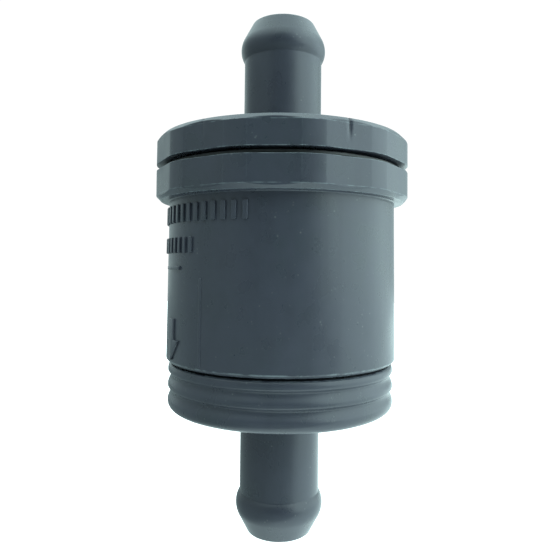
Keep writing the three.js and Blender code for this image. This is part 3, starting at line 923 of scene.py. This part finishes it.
def wrapped_block(outline, proud, base, soft):
    """A drafted block on an outline of (across, up) points in millimetres, wrapped round the sleeve."""
    shape = bmesh.new()
    points = [shape.verts.new((u, v, -SUNK)) for u, v in outline]
    face = shape.faces.new(points)
    made = bmesh.ops.extrude_face_region(shape, geom=[face])
    top = [v for v in made["geom"] if isinstance(v, bmesh.types.BMVert)]
    for vert in top:
        vert.co.z = proud
    edges = [e for e in shape.edges if all(v.co.z > 0 for v in e.verts)]
    bmesh.ops.bevel(shape, geom=edges, offset=soft, segments=3, profile=0.5, affect="EDGES")
    left = min(u for u, _ in outline)
    right = max(u for u, _ in outline)
    cuts = int((right - left) / CUT_STEP)
    for i in range(1, cuts + 1):
        at = left + (right - left) * i / (cuts + 1)
        geometry = shape.verts[:] + shape.edges[:] + shape.faces[:]
        bmesh.ops.bisect_plane(shape, geom=geometry, plane_co=(at, 0, 0), plane_no=(1, 0, 0))
    for vert in shape.verts:
        u, v, w = vert.co
        radius = base(v)
        turn = u / radius - math.pi / 2
        away = (radius + w) * MM
        vert.co = (away * math.cos(turn), away * math.sin(turn), v * MM)
    bmesh.ops.recalc_face_normals(shape, faces=shape.faces[:])
    return shape


def rectangle(left, bottom, wide, tall, corner):
    """The outline of a rectangle with round corners."""
    points = []
    centres = [
        (left + wide - corner, bottom + corner, -90),
        (left + wide - corner, bottom + tall - corner, 0),
        (left + corner, bottom + tall - corner, 90),
        (left + corner, bottom + corner, 180),
    ]
    for x, y, start in centres:
        for k in range(4):
            turn = math.radians(start + 30 * k)
            points.append((x + corner * math.cos(turn), y + corner * math.sin(turn)))
    return points


def make_flow_marks(sizes):
    """Two rows of plain ticks, and a bar, a faint line and a flow arrow that points to the outlet."""
    at = levels(sizes)
    sleeve = sizes.sleeve_radius / MM
    lip = sizes.lip_radius / MM
    proud = sizes.mark_height / MM

    def base(z):
        return lip + (sleeve - lip) * between(z, at["lip"], at["collar"])

    rows = []
    for row, (count, wide, tall, first, last, drop) in enumerate(TICK_ROWS):
        bottom = at["collar"] - drop - tall
        outline = rectangle(-wide / 2, bottom, wide, tall, TICK_CORNER)
        name = f"flow_ticks_{row + 1}"
        tick = new_object(name, mesh_of(wrapped_block(outline, proud, base, TICK_SOFT), name))
        shaped(
            tick,
            copies_tree(),
            count=count,
            first_angle=math.radians(first),
            step_angle=math.radians((last - first) / (count - 1)),
            material=plastic_material(),
        )
        rows.append(tick)

    middle = math.radians(MARK_TURN) * lip
    bar = rectangle(middle - BAR_SIZE[0] / 2, at["collar"] - BAR_DROP, *BAR_SIZE, MARK_CORNER)
    wide, tall = ARROW_SIZE
    head = tall * 0.5
    shaft = wide / 6
    tip = at["lip"] + LIP_CHAMFER + ARROW_LIFT
    arrow = [
        (0, 0),
        (wide / 2, head),
        (shaft, head),
        (shaft, tall),
        (-shaft, tall),
        (-shaft, head),
        (-wide / 2, head),
    ]
    line_u = math.radians(LINE_TURN) * lip
    line_low = at["lip"] + LINE_LIFT
    line = rectangle(line_u - LINE_SIZE[0] / 2, line_low, *LINE_SIZE, MARK_CORNER)
    placed_arrow = [(middle + u, tip + v) for u, v in arrow]
    merged = bmesh.new()
    for outline, stands in ((bar, proud), (placed_arrow, proud), (line, LINE_HEIGHT)):
        soft = min(MARK_SOFT, 0.9 * stands)
        piece = mesh_of(wrapped_block(outline, stands, base, soft), "block")
        merged.from_mesh(piece)
        bpy.data.meshes.remove(piece)
    mesh = mesh_of(merged, "flow_arrow")
    mesh.polygons.foreach_set("use_smooth", [True] * len(mesh.polygons))
    mesh.materials.append(plastic_material())
    return [*rows, new_object("flow_arrow", mesh)]


# ---- Rubber, washer and wire --------------------------------------------------------------------

SHEET = 0.8  # thickness of the pressed pieces
CORE_WALL = 0.6
CORE_ROWS = 6
CORE_PLAIN = 1.0  # length without holes at each end
CORE_HOLE = (0.85, 0.85)  # half its width and half its height
GUARD_WALL = 0.5
GUARD_ROWS = 3
GUARD_SLOT = (1.25, 0.36)  # half its width, and half its height as a share of the rows' distance
GROMMET_FLANGE = (1.1, 0.8)  # how far the grommet's flange stands out from its neck, and its thickness
SPRING_WIRE = 0.6  # radius
SPRING_TURNS = 5.0
SPRING_CLOSED = 1.35  # rise of the closed turn at each end
SNAP_WIRE = 0.5  # radius
SNAP_TURNS = 0.96
CUP_RIM = 2.2
CUP_FOOT = 9.2  # radius of the dome where it leaves the cup's floor
UPPER_SEAT_BORE = 9.5
PAPER = 0.4  # thickness


def sealing_ring(name, node):
    """A rubber ring of round section that fills a node's box."""
    section = (high(node) - low(node)) / 2
    middle = (high(node) + low(node)) / 2
    corners = arc_corners(reach(node) - section, middle, section, 0, 345, 23)
    return turned(name, corners, rubber_material())


def square_ring(name, node, bore, material, edge):
    """A ring of rectangular section that fills a node's box, with soft edges."""
    bottom, top, outer = low(node), high(node), reach(node)
    places = ((bore, bottom), (outer, bottom), (outer, top), (bore, top))
    return turned(name, [(*place, edge, 1) for place in places], material)


def make_grommet():
    """The rubber grommet, with a flange below its neck."""
    bottom, top = low("outlet_grommet"), high("outlet_grommet")
    outer = reach("outlet_grommet")
    bore = NOZZLE[0] + JOINT_GAP
    neck = outer - GROMMET_FLANGE[0]
    flange_top = bottom + GROMMET_FLANGE[1]
    corners = [
        (bore, bottom, 0.3, 1),
        (outer, bottom, 0.25, 1),
        (outer, flange_top, 0.25, 1),
        (neck, flange_top, 0.15, 1),
        (neck, top, 0.4, 1),
        (bore, top, 0.3, 1),
    ]
    return turned("outlet_grommet_ring", corners, rubber_material())


def wire(name, node, wire_radius, turns, closed_rise, steps):
    """A wire coil that fills a node's box from bottom to top."""
    bottom, top = low(node), high(node)
    live = top - bottom - 2 * wire_radius - 2 * closed_rise
    lengths = {
        "coil_radius": reach(node) - wire_radius,
        "wire_radius": wire_radius,
        "low": bottom + wire_radius,
        "closed_rise": closed_rise,
        "live_rise": live,
    }
    obj = new_object(name, bpy.data.meshes.new(name))
    metres = {label: length * MM for label, length in lengths.items()}
    return shaped(obj, coil_tree(), turns=turns, steps=steps, material=zinc_material(), **metres)


# ---- Cartridge ----------------------------------------------------------------------------------


def make_end_disc(name, node, upwards, bore):
    """A pressed pan with a soft fold at its rim."""
    bottom, top, outer = low(node), high(node), reach(node)
    flat, rim = (bottom, top) if upwards else (top, bottom)
    way = 1 if upwards else -1
    corners = [
        (bore, flat, 0.15, 2),
        (outer, flat, 0.9, 1),
        (outer, rim, 0.3, 1),
        (outer - SHEET, rim, 0.3, 1),
        (outer - SHEET, flat + way * SHEET, 0.3, 2),
        (bore, flat + way * SHEET, 0.15, 2),
    ][::way]
    return turned(name, corners, zinc_material(), closed=bore > 0)


def make_spring_cup():
    """The pressed cup under the spring, with a dome in its floor."""
    bottom, top, outer = low("spring_cup"), high("spring_cup"), reach("spring_cup")
    rim = bottom + CUP_RIM
    rise = top - bottom - SHEET
    sphere = (CUP_FOOT**2 + rise**2) / (2 * rise)
    swing = math.degrees(math.asin(CUP_FOOT / sphere))
    dome = arc_corners(0, top - sphere, sphere, 90 - swing, 90, 10)
    hollow = arc_corners(0, bottom + rise - sphere, sphere, 90, 90 - swing, 10)
    corners = [
        *[(max(r, 0), *rest) for r, *rest in hollow],
        (outer, bottom, 0.7, 1),
        (outer, rim, 0.3, 1),
        (outer - SHEET, rim, 0.3, 1),
        (outer - SHEET, bottom + SHEET, 0.3, 1),
        *[(max(r, 0), *rest) for r, *rest in dome],
    ]
    return turned("spring_cup_pressing", corners, zinc_material(), closed=False)


def rod_mesh(radius_across, radius_up, start, end, z, sides):
    """A bar that lies along X, oval in section, for punching a hole."""
    shape = bmesh.new()
    rings = []
    for x in (start, end):
        ring = []
        for k in range(sides):
            turn = TAU * (k + 0.5) / sides
            across = radius_across * math.cos(turn) * MM
            up = (z + radius_up * math.sin(turn)) * MM
            ring.append(shape.verts.new((x * MM, across, up)))
        rings.append(ring)
    for k in range(sides):
        after = (k + 1) % sides
        shape.faces.new((rings[0][k], rings[0][after], rings[1][after], rings[1][k]))
    shape.faces.new(rings[0])
    shape.faces.new(rings[1])
    bmesh.ops.recalc_face_normals(shape, faces=shape.faces[:])
    return mesh_of(shape, "punch")


def punched_tube(name, node, wall, edge, rows, count, hole, plain_end, sides):
    """A tube that fills a node's box, with rows of holes, each turned half a step from the last."""
    bottom, top, outer = low(node), high(node), reach(node)
    tube = square_ring(name, node, outer - wall, zinc_material(), edge)
    rise = (top - bottom - 2 * plain_end) / rows
    step = TAU / count
    punch = rod_mesh(*hole, outer - 2, outer + 1, bottom + plain_end + rise / 2, sides)
    cutter = shaped(
        new_object("punch", punch),
        copies_tree(),
        count=count,
        rows=rows,
        step_angle=step,
        row_turn=step / 2,
        row_rise=rise * MM,
        material=zinc_material(),
    )
    modifier = tube.modifiers.new("Punch", "BOOLEAN")
    modifier.operation = "DIFFERENCE"
    modifier.solver = "EXACT"
    modifier.object = cutter
    plain(tube)
    bpy.data.objects.remove(cutter)
    return tube


def make_core_tube():
    """The tube that keeps the paper from collapsing, with rows of round holes."""
    return punched_tube(
        "core_tube_rolled", "core_tube", CORE_WALL, 0.12, CORE_ROWS, 12, CORE_HOLE, CORE_PLAIN, 14
    )


def make_outer_guard():
    """The sleeve round the paper, with rows of slots."""
    rise = (high("outer_guard") - low("outer_guard")) / GUARD_ROWS
    slot = (GUARD_SLOT[0], GUARD_SLOT[1] * rise)
    return punched_tube(
        "outer_guard_rolled", "outer_guard", GUARD_WALL, 0.1, GUARD_ROWS, 16, slot, 0, 16
    )


def make_pleats():
    """The pleated paper, between the fleece and the guard."""
    name = "media_pleats_paper"
    lengths = {
        "inner_radius": reach("inner_fleece") + JOINT_GAP + 0.55,
        "outer_radius": reach("media_pleats") - 0.35,
        "fold_radius": 0.3,
        "thickness": PAPER,
        "low": low("media_pleats"),
        "tall": high("media_pleats") - low("media_pleats"),
    }
    obj = new_object(name, bpy.data.meshes.new(name))
    metres = {label: length * MM for label, length in lengths.items()}
    return shaped(obj, pleats_tree(), pleats=30, material=paper_material(), **metres)


# ---- Shader groups ------------------------------------------------------------------------------


@once("node_groups", "Fine Grain")
def grain_group(name):
    """Fine grain: a height and a shade that vary over the surface at two scales."""
    inputs = [
        ("Vector", "Vector", None),
        ("Scale", "Float", 4000.0),
        ("Mottle Scale", "Float", 260.0),
        ("Mottle", "Float", 0.5),
    ]
    outputs = [("Height", "Float"), ("Shade", "Float")]
    tree, given, result = new_tree(name, "ShaderNodeTree", inputs, outputs)
    fine = noise(tree, given["Vector"], given["Scale"], 3.0)
    slow = noise(tree, given["Vector"], given["Mottle Scale"], 4.0)
    plug(tree, fine + slow * given["Mottle"], result["Height"])
    plug(tree, slow.ramp(0.3, 0.7), result["Shade"])
    return tree


def mask_tree(name, scale):
    """A shader group that makes a mask from a place, an edge and an amount."""
    inputs = [
        ("Vector", "Vector", None),
        ("Edge", "Float", 0.0),
        ("Amount", "Float", 0.5),
        ("Scale", "Float", scale),
    ]
    return new_tree(name, "ShaderNodeTree", inputs, [("Mask", "Float")])


@once("node_groups", "Edge Wear")
def wear_group(name):
    """Edge wear: a mask that follows the worn edges but breaks up along them; on the plastic it also
    places a painted highlight.
    """
    tree, given, result = mask_tree(name, 700.0)
    broken = noise(tree, given["Vector"], given["Scale"], 3.0).ramp(0.38, 0.62)
    edge = given["Edge"].math("MAXIMUM", 0.0)
    plug(tree, (edge * broken * given["Amount"]).math("MINIMUM", 1.0), result["Mask"])
    return tree


@once("node_groups", "Dust")
def dust_group(name):
    """Dust: fine specks, thicker where the surface is hollow."""
    tree, given, result = mask_tree(name, 1100.0)
    inputs = {"Vector": given["Vector"], "Scale": given["Scale"]}
    cells = add(tree, "ShaderNodeTexVoronoi", inputs, feature="F1")
    sparse = noise(tree, given["Vector"], 330.0).ramp(0.56, 0.7)
    speck = (Number(tree, cells.outputs["Distance"]) * -1.0).ramp(-0.22, -0.08)
    hollow = (given["Edge"] * -0.25).math("MAXIMUM", 0.0)
    plug(tree, (speck * sparse + hollow) * given["Amount"], result["Mask"])
    return tree


# ---- Materials ----------------------------------------------------------------------------------


class Surface:
    """A material under construction, with its Principled shader and its shared inputs."""

    def __init__(self, name):
        self.material = bpy.data.materials.new(name)
        self.material.use_nodes = True
        self.tree = self.material.node_tree
        self.shader = self.tree.nodes["Principled BSDF"]
        self.finish = bpy.context.scene.filter_finish
        self.place = add(self.tree, "ShaderNodeTexCoord").outputs["Object"]
        edge = add(self.tree, "ShaderNodeAttribute", attribute_name="wear", attribute_type="GEOMETRY")
        self.edge = edge.outputs["Fac"]

    def group(self, group, **values):
        """A shader group on this surface; its outputs by name."""
        made = add(self.tree, "ShaderNodeGroup", node_tree=group)
        for name, value in {"vector": self.place, **values}.items():
            plug(self.tree, value, made.inputs[name.replace("_", " ").title()])
        return read(self.tree, made.outputs)

    def grain(self, scale, mottle_scale, mottle):
        """The fine grain's height and shade."""
        return self.group(grain_group(), scale=scale, mottle_scale=mottle_scale, mottle=mottle)

    def worn(self, amount):
        """A mask of the rubbed edges, which on the plastic also carry a painted highlight."""
        return self.group(wear_group(), edge=self.edge, amount=amount)["Mask"]

    def dusted(self, amount):
        """A mask of the dust, as a share of the finish's dust."""
        return self.group(dust_group(), edge=self.edge, amount=amount * self.finish.dust)["Mask"]

    def noise(self, scale, detail=2.0, distortion=0.0, stretch=1.0):
        """A cloudy number, squeezed along the axis by a stretch over 1 and drawn out by one under it."""
        place = self.place
        if stretch != 1.0:
            inputs = {"Vector": place, "Scale": (1.0, 1.0, stretch)}
            place = add(self.tree, "ShaderNodeMapping", inputs).outputs[0]
        return noise(self.tree, place, scale, detail, distortion)

    def mixed(self, factor, first, second):
        """A colour between two others."""
        made = add(self.tree, "ShaderNodeMix", {"Factor": factor}, data_type="RGBA")
        for value, socket in ((first, made.inputs[6]), (second, made.inputs[7])):
            plug(self.tree, rgba(value) if isinstance(value, tuple) else value, socket)
        return made.outputs[2]

    def set(self, **values):
        """Sets or joins the shader's inputs."""
        for name, value in values.items():
            plug(self.tree, value, self.shader.inputs[name.replace("_", " ")])

    def bump(self, height, strength, distance):
        """Ends the surface in a bump, its distance in millimetres."""
        inputs = {"Height": height, "Strength": strength, "Distance": distance * MM}
        plug(self.tree, add(self.tree, "ShaderNodeBump", inputs).outputs[0], self.shader.inputs["Normal"])
        return self.material


def rgba(value):
    """A colour with its alpha."""
    return (*value[:3], 1.0)


def tinted(value, *factors):
    """A colour made lighter or darker by one factor, or channel by channel by three."""
    if len(factors) == 1:
        factors *= 3
    return tuple(min(1.0, channel * factor) for channel, factor in zip(value, factors))


@once("materials", "Housing Plastic")
def plastic_material(name):
    """Glass-filled plastic: dark blue-grey, satin, mottled by the mould, with rubbed edges that also
    carry a painted highlight, and dust.
    """
    made = Surface(name)
    base = tuple(made.finish.plastic)
    grain = made.grain(5200.0, 220.0, 0.3)
    cloud = made.noise(70.0, 3.0).ramp(0.35, 0.65)
    streak = made.noise(520.0, stretch=0.05).ramp(0.45, 0.75)
    body = made.mixed(cloud, base, tinted(base, 0.95, 1.04, 0.93))
    body = made.mixed(streak, body, tinted(base, 0.88))
    mottled = made.mixed(grain["Shade"], body, tinted(base, 1.1))
    # Rubbed edges, lightened also as a painted highlight
    rubbed = made.mixed(made.worn(0.55), mottled, tuple(made.finish.plastic_wear_and_highlight))
    dust = made.dusted(1.0)
    rough = grain["Shade"] * 0.08 + streak * 0.03 + (made.finish.roughness - 0.04)
    made.set(Base_Color=made.mixed(dust, rubbed, (0.30, 0.31, 0.30)))
    made.set(Roughness=rough + dust * 0.3, IOR=1.5)
    return made.bump(grain["Height"], 0.2, 0.03)


@once("materials", "Seal Rubber")
def rubber_material(name):
    """Nitrile rubber: near black, with a dusty bloom."""
    made = Surface(name)
    base = tuple(made.finish.rubber)
    grain = made.grain(3800.0, 420.0, 0.4)
    bloom = made.mixed(grain["Shade"], base, tinted(base, 1.9))
    made.set(Base_Color=made.mixed(made.dusted(0.6), bloom, (0.2, 0.2, 0.19)))
    made.set(Roughness=grain["Shade"] * 0.14 + 0.55, IOR=1.52)
    return made.bump(grain["Height"], 0.3, 0.03)


@once("materials", "Washer Acetal")
def acetal_material(name):
    """Black acetal: smooth and a little waxy, with rubbed edges."""
    made = Surface(name)
    base = tuple(made.finish.acetal)
    grain = made.grain(6500.0, 500.0, 0.3)
    body = made.mixed(grain["Shade"], base, tinted(base, 1.5))
    made.set(Base_Color=made.mixed(made.worn(0.4), body, (0.07, 0.07, 0.07)))
    made.set(Roughness=grain["Shade"] * 0.12 + 0.28, IOR=1.48)
    return made.bump(grain["Height"], 0.15, 0.02)


@once("materials", "Plated Steel")
def zinc_material(name):
    """Zinc-plated steel: dull silver with a faint warm and cool cloud and fine rolling lines."""
    made = Surface(name)
    base = tuple(made.finish.zinc)
    lines = made.noise(900.0, 4.0, stretch=14.0)
    grain = made.grain(3000.0, 240.0, 0.5)
    clouded = made.mixed(grain["Shade"], base, tinted(base, 0.98, 0.93, 0.82))
    made.set(Base_Color=made.mixed(made.worn(0.6), clouded, (0.8, 0.8, 0.81)), Metallic=1.0)
    made.set(Roughness=lines * 0.22 + 0.22)
    return made.bump(lines + grain["Height"] * 0.3, 0.2, 0.03)


@once("materials", "Filter Paper")
def paper_material(name):
    """Resin-treated filter paper: cream, fibrous and matt."""
    made = Surface(name)
    base = tuple(made.finish.paper)
    grain = made.grain(2600.0, 600.0, 0.9)
    strand = made.noise(1500.0, 5.0, 2.4).ramp(0.5, 0.68)
    toned = made.mixed(grain["Shade"], tinted(base, 0.86), base)
    made.set(Base_Color=made.mixed(strand, toned, tinted(base, 1.22)), Roughness=0.92)
    return made.bump(grain["Height"] + strand, 0.6, 0.06)


@once("materials", "Felt")
def felt_material(name):
    """Needled felt: off-white, soft and fuzzy."""
    made = Surface(name)
    base = tuple(made.finish.felt)
    grain = made.grain(1900.0, 380.0, 1.0)
    tuft = made.noise(1100.0, 6.0, 4.0).ramp(0.4, 0.65)
    made.set(Base_Color=made.mixed(tuft, tinted(base, 0.72), base), Roughness=1.0, Sheen_Weight=0.3)
    return made.bump(grain["Height"] + tuft, 0.8, 0.12)


@once("materials", "Potting Resin")
def resin_material(name):
    """Cast potting: amber, glossy, with small bubbles."""
    made = Surface(name)
    base = tuple(made.finish.resin)
    grain = made.grain(1300.0, 180.0, 0.8)
    bubbles = add(made.tree, "ShaderNodeTexVoronoi", {"Vector": made.place, "Scale": 620.0})
    bubble = Number(made.tree, bubbles.outputs["Distance"]).ramp(0.1, 0.2)
    body = made.mixed(grain["Shade"], tinted(base, 0.7), base)
    made.set(Base_Color=made.mixed(bubble, tinted(base, 1.5), body), Roughness=0.24, Coat_Weight=0.3)
    return made.bump(bubble + grain["Height"] * 0.1, 0.25, 0.08)


# ---- Studio -------------------------------------------------------------------------------------

FLOOR_HALF = 3.0  # metres
FLOOR_SHEET = (0.25, 0.26, 0.26, 1.0)
SEEN_SHEET = (0.8, 0.8, 0.8, 1.0)
SEEN_GLOW = 0.7  # light of the floor where the camera sees it
SEEN_WORLD = 1.05  # light of the surroundings where the camera sees them
WHITE = (1.0, 1.0, 1.0, 1.0)
POOL_SLANT = 0.4  # how far the pool's front edge turns with every metre across
POOL_ACROSS = (-0.2, 0.02)  # where the pool begins and where it is full, in metres
POOL_FRONT = (-0.24, -0.15)
KEY_TURN = math.radians(72)  # from the camera round to the middle of the light on the right
# The cosines from a light's middle at which it begins and is full
KEY_SPREAD = (0.3, 0.9)
ABOVE_SPREAD = (0.4, 0.85)
BACK_SPREAD = (-0.3, -0.9)
FRONT_SPREAD = (0.6, 0.95)


def make_floor(studio):
    """A wide pale sheet under the filter, with a pool of light on it that fades towards the camera."""
    bottom = CAD_BOX[0].z - studio.clearance
    mesh = bpy.data.meshes.new("floor")
    corners = [(-1, -1), (1, -1), (1, 1), (-1, 1)]
    points = [(x * FLOOR_HALF, y * FLOOR_HALF, bottom) for x, y in corners]
    mesh.from_pydata(points, [], [(0, 1, 2, 3)])
    material = bpy.data.materials.new("Pale Floor")
    material.use_nodes = True
    tree = material.node_tree
    shader = tree.nodes["Principled BSDF"]
    place = add(tree, "ShaderNodeTexCoord").outputs["Object"]
    parts = read(tree, add(tree, "ShaderNodeSeparateXYZ", {0: place}).outputs)
    across = parts["X"].ramp(*POOL_ACROSS, studio.under, True)
    front = (parts["X"] * POOL_SLANT + parts["Y"]).ramp(*POOL_FRONT, 1.0, True)
    pool = across * front
    seen = Number(tree, add(tree, "ShaderNodeLightPath").outputs["Is Camera Ray"])
    shader.inputs["Roughness"].default_value = 0.9
    shader.inputs["Specular IOR Level"].default_value = 0.0
    plug(tree, either(tree, seen, FLOOR_SHEET, SEEN_SHEET), shader.inputs["Base Color"])
    plug(tree, either(tree, seen, rgba(studio.tint), WHITE), shader.inputs["Emission Color"])
    plug(tree, pool + seen * (pool * -1 + SEEN_GLOW), shader.inputs["Emission Strength"])
    mesh.materials.append(material)
    new_object("floor", mesh)


def make_world(studio):
    """Soft light from the right, above and behind, and a dim room behind the camera."""
    world = bpy.data.worlds.new("Studio")
    bpy.context.scene.world = world
    world.use_nodes = True
    tree = world.node_tree
    background = tree.nodes["Background"]
    direction = add(tree, "ShaderNodeTexCoord").outputs["Generated"]

    def along(vector):
        made = add(tree, "ShaderNodeVectorMath", {0: direction, 1: vector}, operation="DOT_PRODUCT")
        return Number(tree, made.outputs["Value"])

    key = studio.turn + KEY_TURN
    beside = along(Vector((math.sin(key), -math.cos(key), 0)))
    ahead = along(Vector((math.sin(studio.turn), -math.cos(studio.turn), 0)))
    light = (
        beside.ramp(*KEY_SPREAD, studio.right, True)
        + along(Vector((0, 0, 1))).ramp(*ABOVE_SPREAD, studio.above, True)
        + ahead.ramp(*BACK_SPREAD, studio.back, True)
        + studio.surround
    )
    dim = ahead.ramp(*FRONT_SPREAD, 1.0, True)
    lit = light + dim * (light * -1 + studio.front)
    seen = Number(tree, add(tree, "ShaderNodeLightPath").outputs["Is Camera Ray"])
    plug(tree, lit + seen * (lit * -1 + SEEN_WORLD), background.inputs["Strength"])
    plug(tree, either(tree, seen, rgba(studio.tint), WHITE), background.inputs["Color"])


def either(tree, seen, lighting, shown):
    """The colour that lights the filter, but another where the camera sees it."""
    made = add(tree, "ShaderNodeMix", {"Factor": seen, 6: lighting, 7: shown}, data_type="RGBA")
    return made.outputs[2]


def make_camera(studio):
    """The camera, level with the filter and a little to its right."""
    camera = bpy.data.cameras.new("Camera")
    camera.lens = studio.lens
    camera.sensor_width = 36.0
    camera.shift_y = studio.rise
    camera.clip_start = 0.005
    camera.clip_end = 20.0
    obj = new_object("Camera", camera)
    swing = Matrix.Rotation(studio.turn, 4, "Z")
    place = swing @ Vector((-studio.offset, -studio.distance, studio.height))
    tilt = Matrix.Rotation(math.pi / 2 + studio.pitch, 4, "X")
    lean = Matrix.Rotation(studio.roll, 4, "Z")
    obj.matrix_world = Matrix.Translation(place) @ swing @ tilt @ lean
    bpy.context.scene.camera = obj


# ---- Operators ----------------------------------------------------------------------------------


def placed(obj, body, slot, *nodes):
    """Sets a piece on its body and hides the nodes it stands for; its slot, for a finish, is not used."""
    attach(obj, body)
    if nodes:
        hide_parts(*nodes)


class FILTER_OT_inlet_cap(bpy.types.Operator):
    """Make the screw-on inlet cap with its rim, thread and spigot"""

    bl_idname = "filter.inlet_cap"
    bl_label = "Inlet Cap"

    def execute(self, context):
        cap = make_inlet_cap(context.scene.filter_sizes)
        placed(cap, "cap", "housing_plastic", "inlet_cap")
        return {"FINISHED"}


class FILTER_OT_housing(bpy.types.Operator):
    """Make the housing sleeve with its flatted collar and threaded mouth"""

    bl_idname = "filter.housing"
    bl_label = "Housing"

    def execute(self, context):
        housing = make_housing(context.scene.filter_sizes)
        placed(housing, "housing", "housing_plastic", "housing_body")
        return {"FINISHED"}


class FILTER_OT_flow_marks(bpy.types.Operator):
    """Make the raised marks on the sleeve"""

    bl_idname = "filter.flow_marks"
    bl_label = "Flow Marks"

    def execute(self, context):
        for marks in make_flow_marks(context.scene.filter_sizes):
            placed(marks, "housing", "housing_plastic")
        return {"FINISHED"}


class FILTER_OT_outlet_end(bpy.types.Operator):
    """Make the ribbed outlet end with its nozzle and spigot"""

    bl_idname = "filter.outlet_end"
    bl_label = "Outlet End"

    def execute(self, context):
        end = make_outlet_end(context.scene.filter_sizes)
        placed(end, "housing", "housing_plastic", "outlet_end")
        return {"FINISHED"}


class FILTER_OT_seals(bpy.types.Operator):
    """Make the sealing rings, the slip washer and the cartridge's grommet"""

    bl_idname = "filter.seals"
    bl_label = "Seals"

    def execute(self, context):
        seal = sealing_ring("cap_seal_ring", "cap_seal")
        placed(seal, "cap_rings", "seal_rubber", "cap_seal")
        bore = MOUTH + JOINT_GAP
        washer = square_ring("slip_washer_ring", "slip_washer", bore, acetal_material(), 0.12)
        placed(washer, "cap_rings", "washer_acetal", "slip_washer")
        seal = sealing_ring("outlet_seal_ring", "outlet_end_seal")
        placed(seal, "housing", "seal_rubber", "outlet_end_seal")
        placed(make_grommet(), "cartridge", "seal_rubber", "outlet_grommet")
        return {"FINISHED"}


class FILTER_OT_wires(bpy.types.Operator):
    """Make the return spring and the snap ring"""

    bl_idname = "filter.wires"
    bl_label = "Spring and Snap Ring"

    def execute(self, context):
        coil = (SPRING_WIRE, SPRING_TURNS, SPRING_CLOSED)
        spring = wire("return_spring_wire", "return_spring", *coil, 260)
        placed(spring, "cartridge", "plated_steel", "return_spring")
        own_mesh(spring)
        ring = wire("snap_ring_wire", "outlet_snap_ring", SNAP_WIRE, SNAP_TURNS, 0.0, 160)
        placed(ring, "housing", "plated_steel", "outlet_snap_ring")
        return {"FINISHED"}


class FILTER_OT_cartridge(bpy.types.Operator):
    """Make the cartridge's discs, potting, tubes, fleece and spring seats"""

    bl_idname = "filter.cartridge"
    bl_label = "Cartridge"

    def execute(self, context):
        core = reach("core_tube")
        bottom = make_end_disc("bottom_disc_pan", "bottom_disc", True, core - CORE_WALL)
        placed(bottom, "cartridge", "plated_steel", "bottom_disc")
        top = make_end_disc("top_disc_pan", "top_disc", False, 0)
        placed(top, "cartridge", "plated_steel", "top_disc")
        bore = core + JOINT_GAP
        for name in ("bottom_potting", "top_potting"):
            cast = square_ring(name + "_cast", name, bore, resin_material(), 0.25)
            placed(cast, "cartridge", "potting_resin", name)
        fleece = square_ring("inner_fleece_felt", "inner_fleece", bore, felt_material(), 0.2)
        placed(fleece, "cartridge", "felt", "inner_fleece")
        placed(make_core_tube(), "cartridge", "plated_steel", "core_tube")
        placed(make_outer_guard(), "cartridge", "plated_steel", "outer_guard")
        placed(make_spring_cup(), "cartridge", "plated_steel", "spring_cup")
        bore = UPPER_SEAT_BORE
        seat = square_ring("upper_seat_washer", "upper_spring_seat", bore, zinc_material(), 0.15)
        placed(seat, "cap", "plated_steel", "upper_spring_seat")
        return {"FINISHED"}


class FILTER_OT_media(bpy.types.Operator):
    """Make the pleated paper and finish its seam clip"""

    bl_idname = "filter.media"
    bl_label = "Pleated Paper"

    def execute(self, context):
        placed(make_pleats(), "cartridge", "filter_paper", "media_pleats")
        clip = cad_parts["seam_clip"]
        clip.data.materials.clear()
        clip.data.materials.append(zinc_material())
        return {"FINISHED"}


class FILTER_OT_studio(bpy.types.Operator):
    """Make the pale floor, the soft light and the camera"""

    bl_idname = "filter.studio"
    bl_label = "Studio"

    def execute(self, context):
        studio = context.scene.filter_studio
        make_floor(studio)
        make_world(studio)
        make_camera(studio)
        context.scene.view_settings.view_transform = "Standard"
        return {"FINISHED"}


class FILTER_PT_panel(bpy.types.Panel):
    """Lists the pieces of the filter and their settings"""

    bl_label = "Fuel Filter"
    bl_idname = "FILTER_PT_panel"
    bl_space_type = "VIEW_3D"
    bl_region_type = "UI"
    bl_category = "Filter"

    def draw(self, context):
        for operator in OPERATORS:
            self.layout.operator(operator.bl_idname)
        for label in SETTINGS:
            group = getattr(context.scene, label)
            column = self.layout.column(align=True)
            for name in group.__annotations__:
                column.prop(group, name)


OPERATORS = (
    FILTER_OT_inlet_cap,
    FILTER_OT_housing,
    FILTER_OT_flow_marks,
    FILTER_OT_outlet_end,
    FILTER_OT_seals,
    FILTER_OT_wires,
    FILTER_OT_cartridge,
    FILTER_OT_media,
    FILTER_OT_studio,
)
SETTINGS = {
    "filter_sizes": FilterSizes,
    "filter_finish": FilterFinish,
    "filter_studio": FilterStudio,
}


def register():
    """Registers the settings, the operators and the panel."""
    for group in SETTINGS.values():
        bpy.utils.register_class(group)
    for name, group in SETTINGS.items():
        setattr(bpy.types.Scene, name, bpy.props.PointerProperty(type=group))
    for operator in OPERATORS:
        bpy.utils.register_class(operator)
    bpy.utils.register_class(FILTER_PT_panel)


def unregister():
    """Takes them away again."""
    bpy.utils.unregister_class(FILTER_PT_panel)
    for operator in reversed(OPERATORS):
        bpy.utils.unregister_class(operator)
    for name, group in SETTINGS.items():
        delattr(bpy.types.Scene, name)
        bpy.utils.unregister_class(group)


def main():
    """Builds the filter and the studio."""
    register()
    bpy.ops.filter.inlet_cap()
    bpy.ops.filter.housing()
    bpy.ops.filter.flow_marks()
    bpy.ops.filter.outlet_end()
    bpy.ops.filter.seals()
    bpy.ops.filter.wires()
    bpy.ops.filter.cartridge()
    bpy.ops.filter.media()
    bpy.ops.filter.studio()


if __name__ == "__main__":
    main()
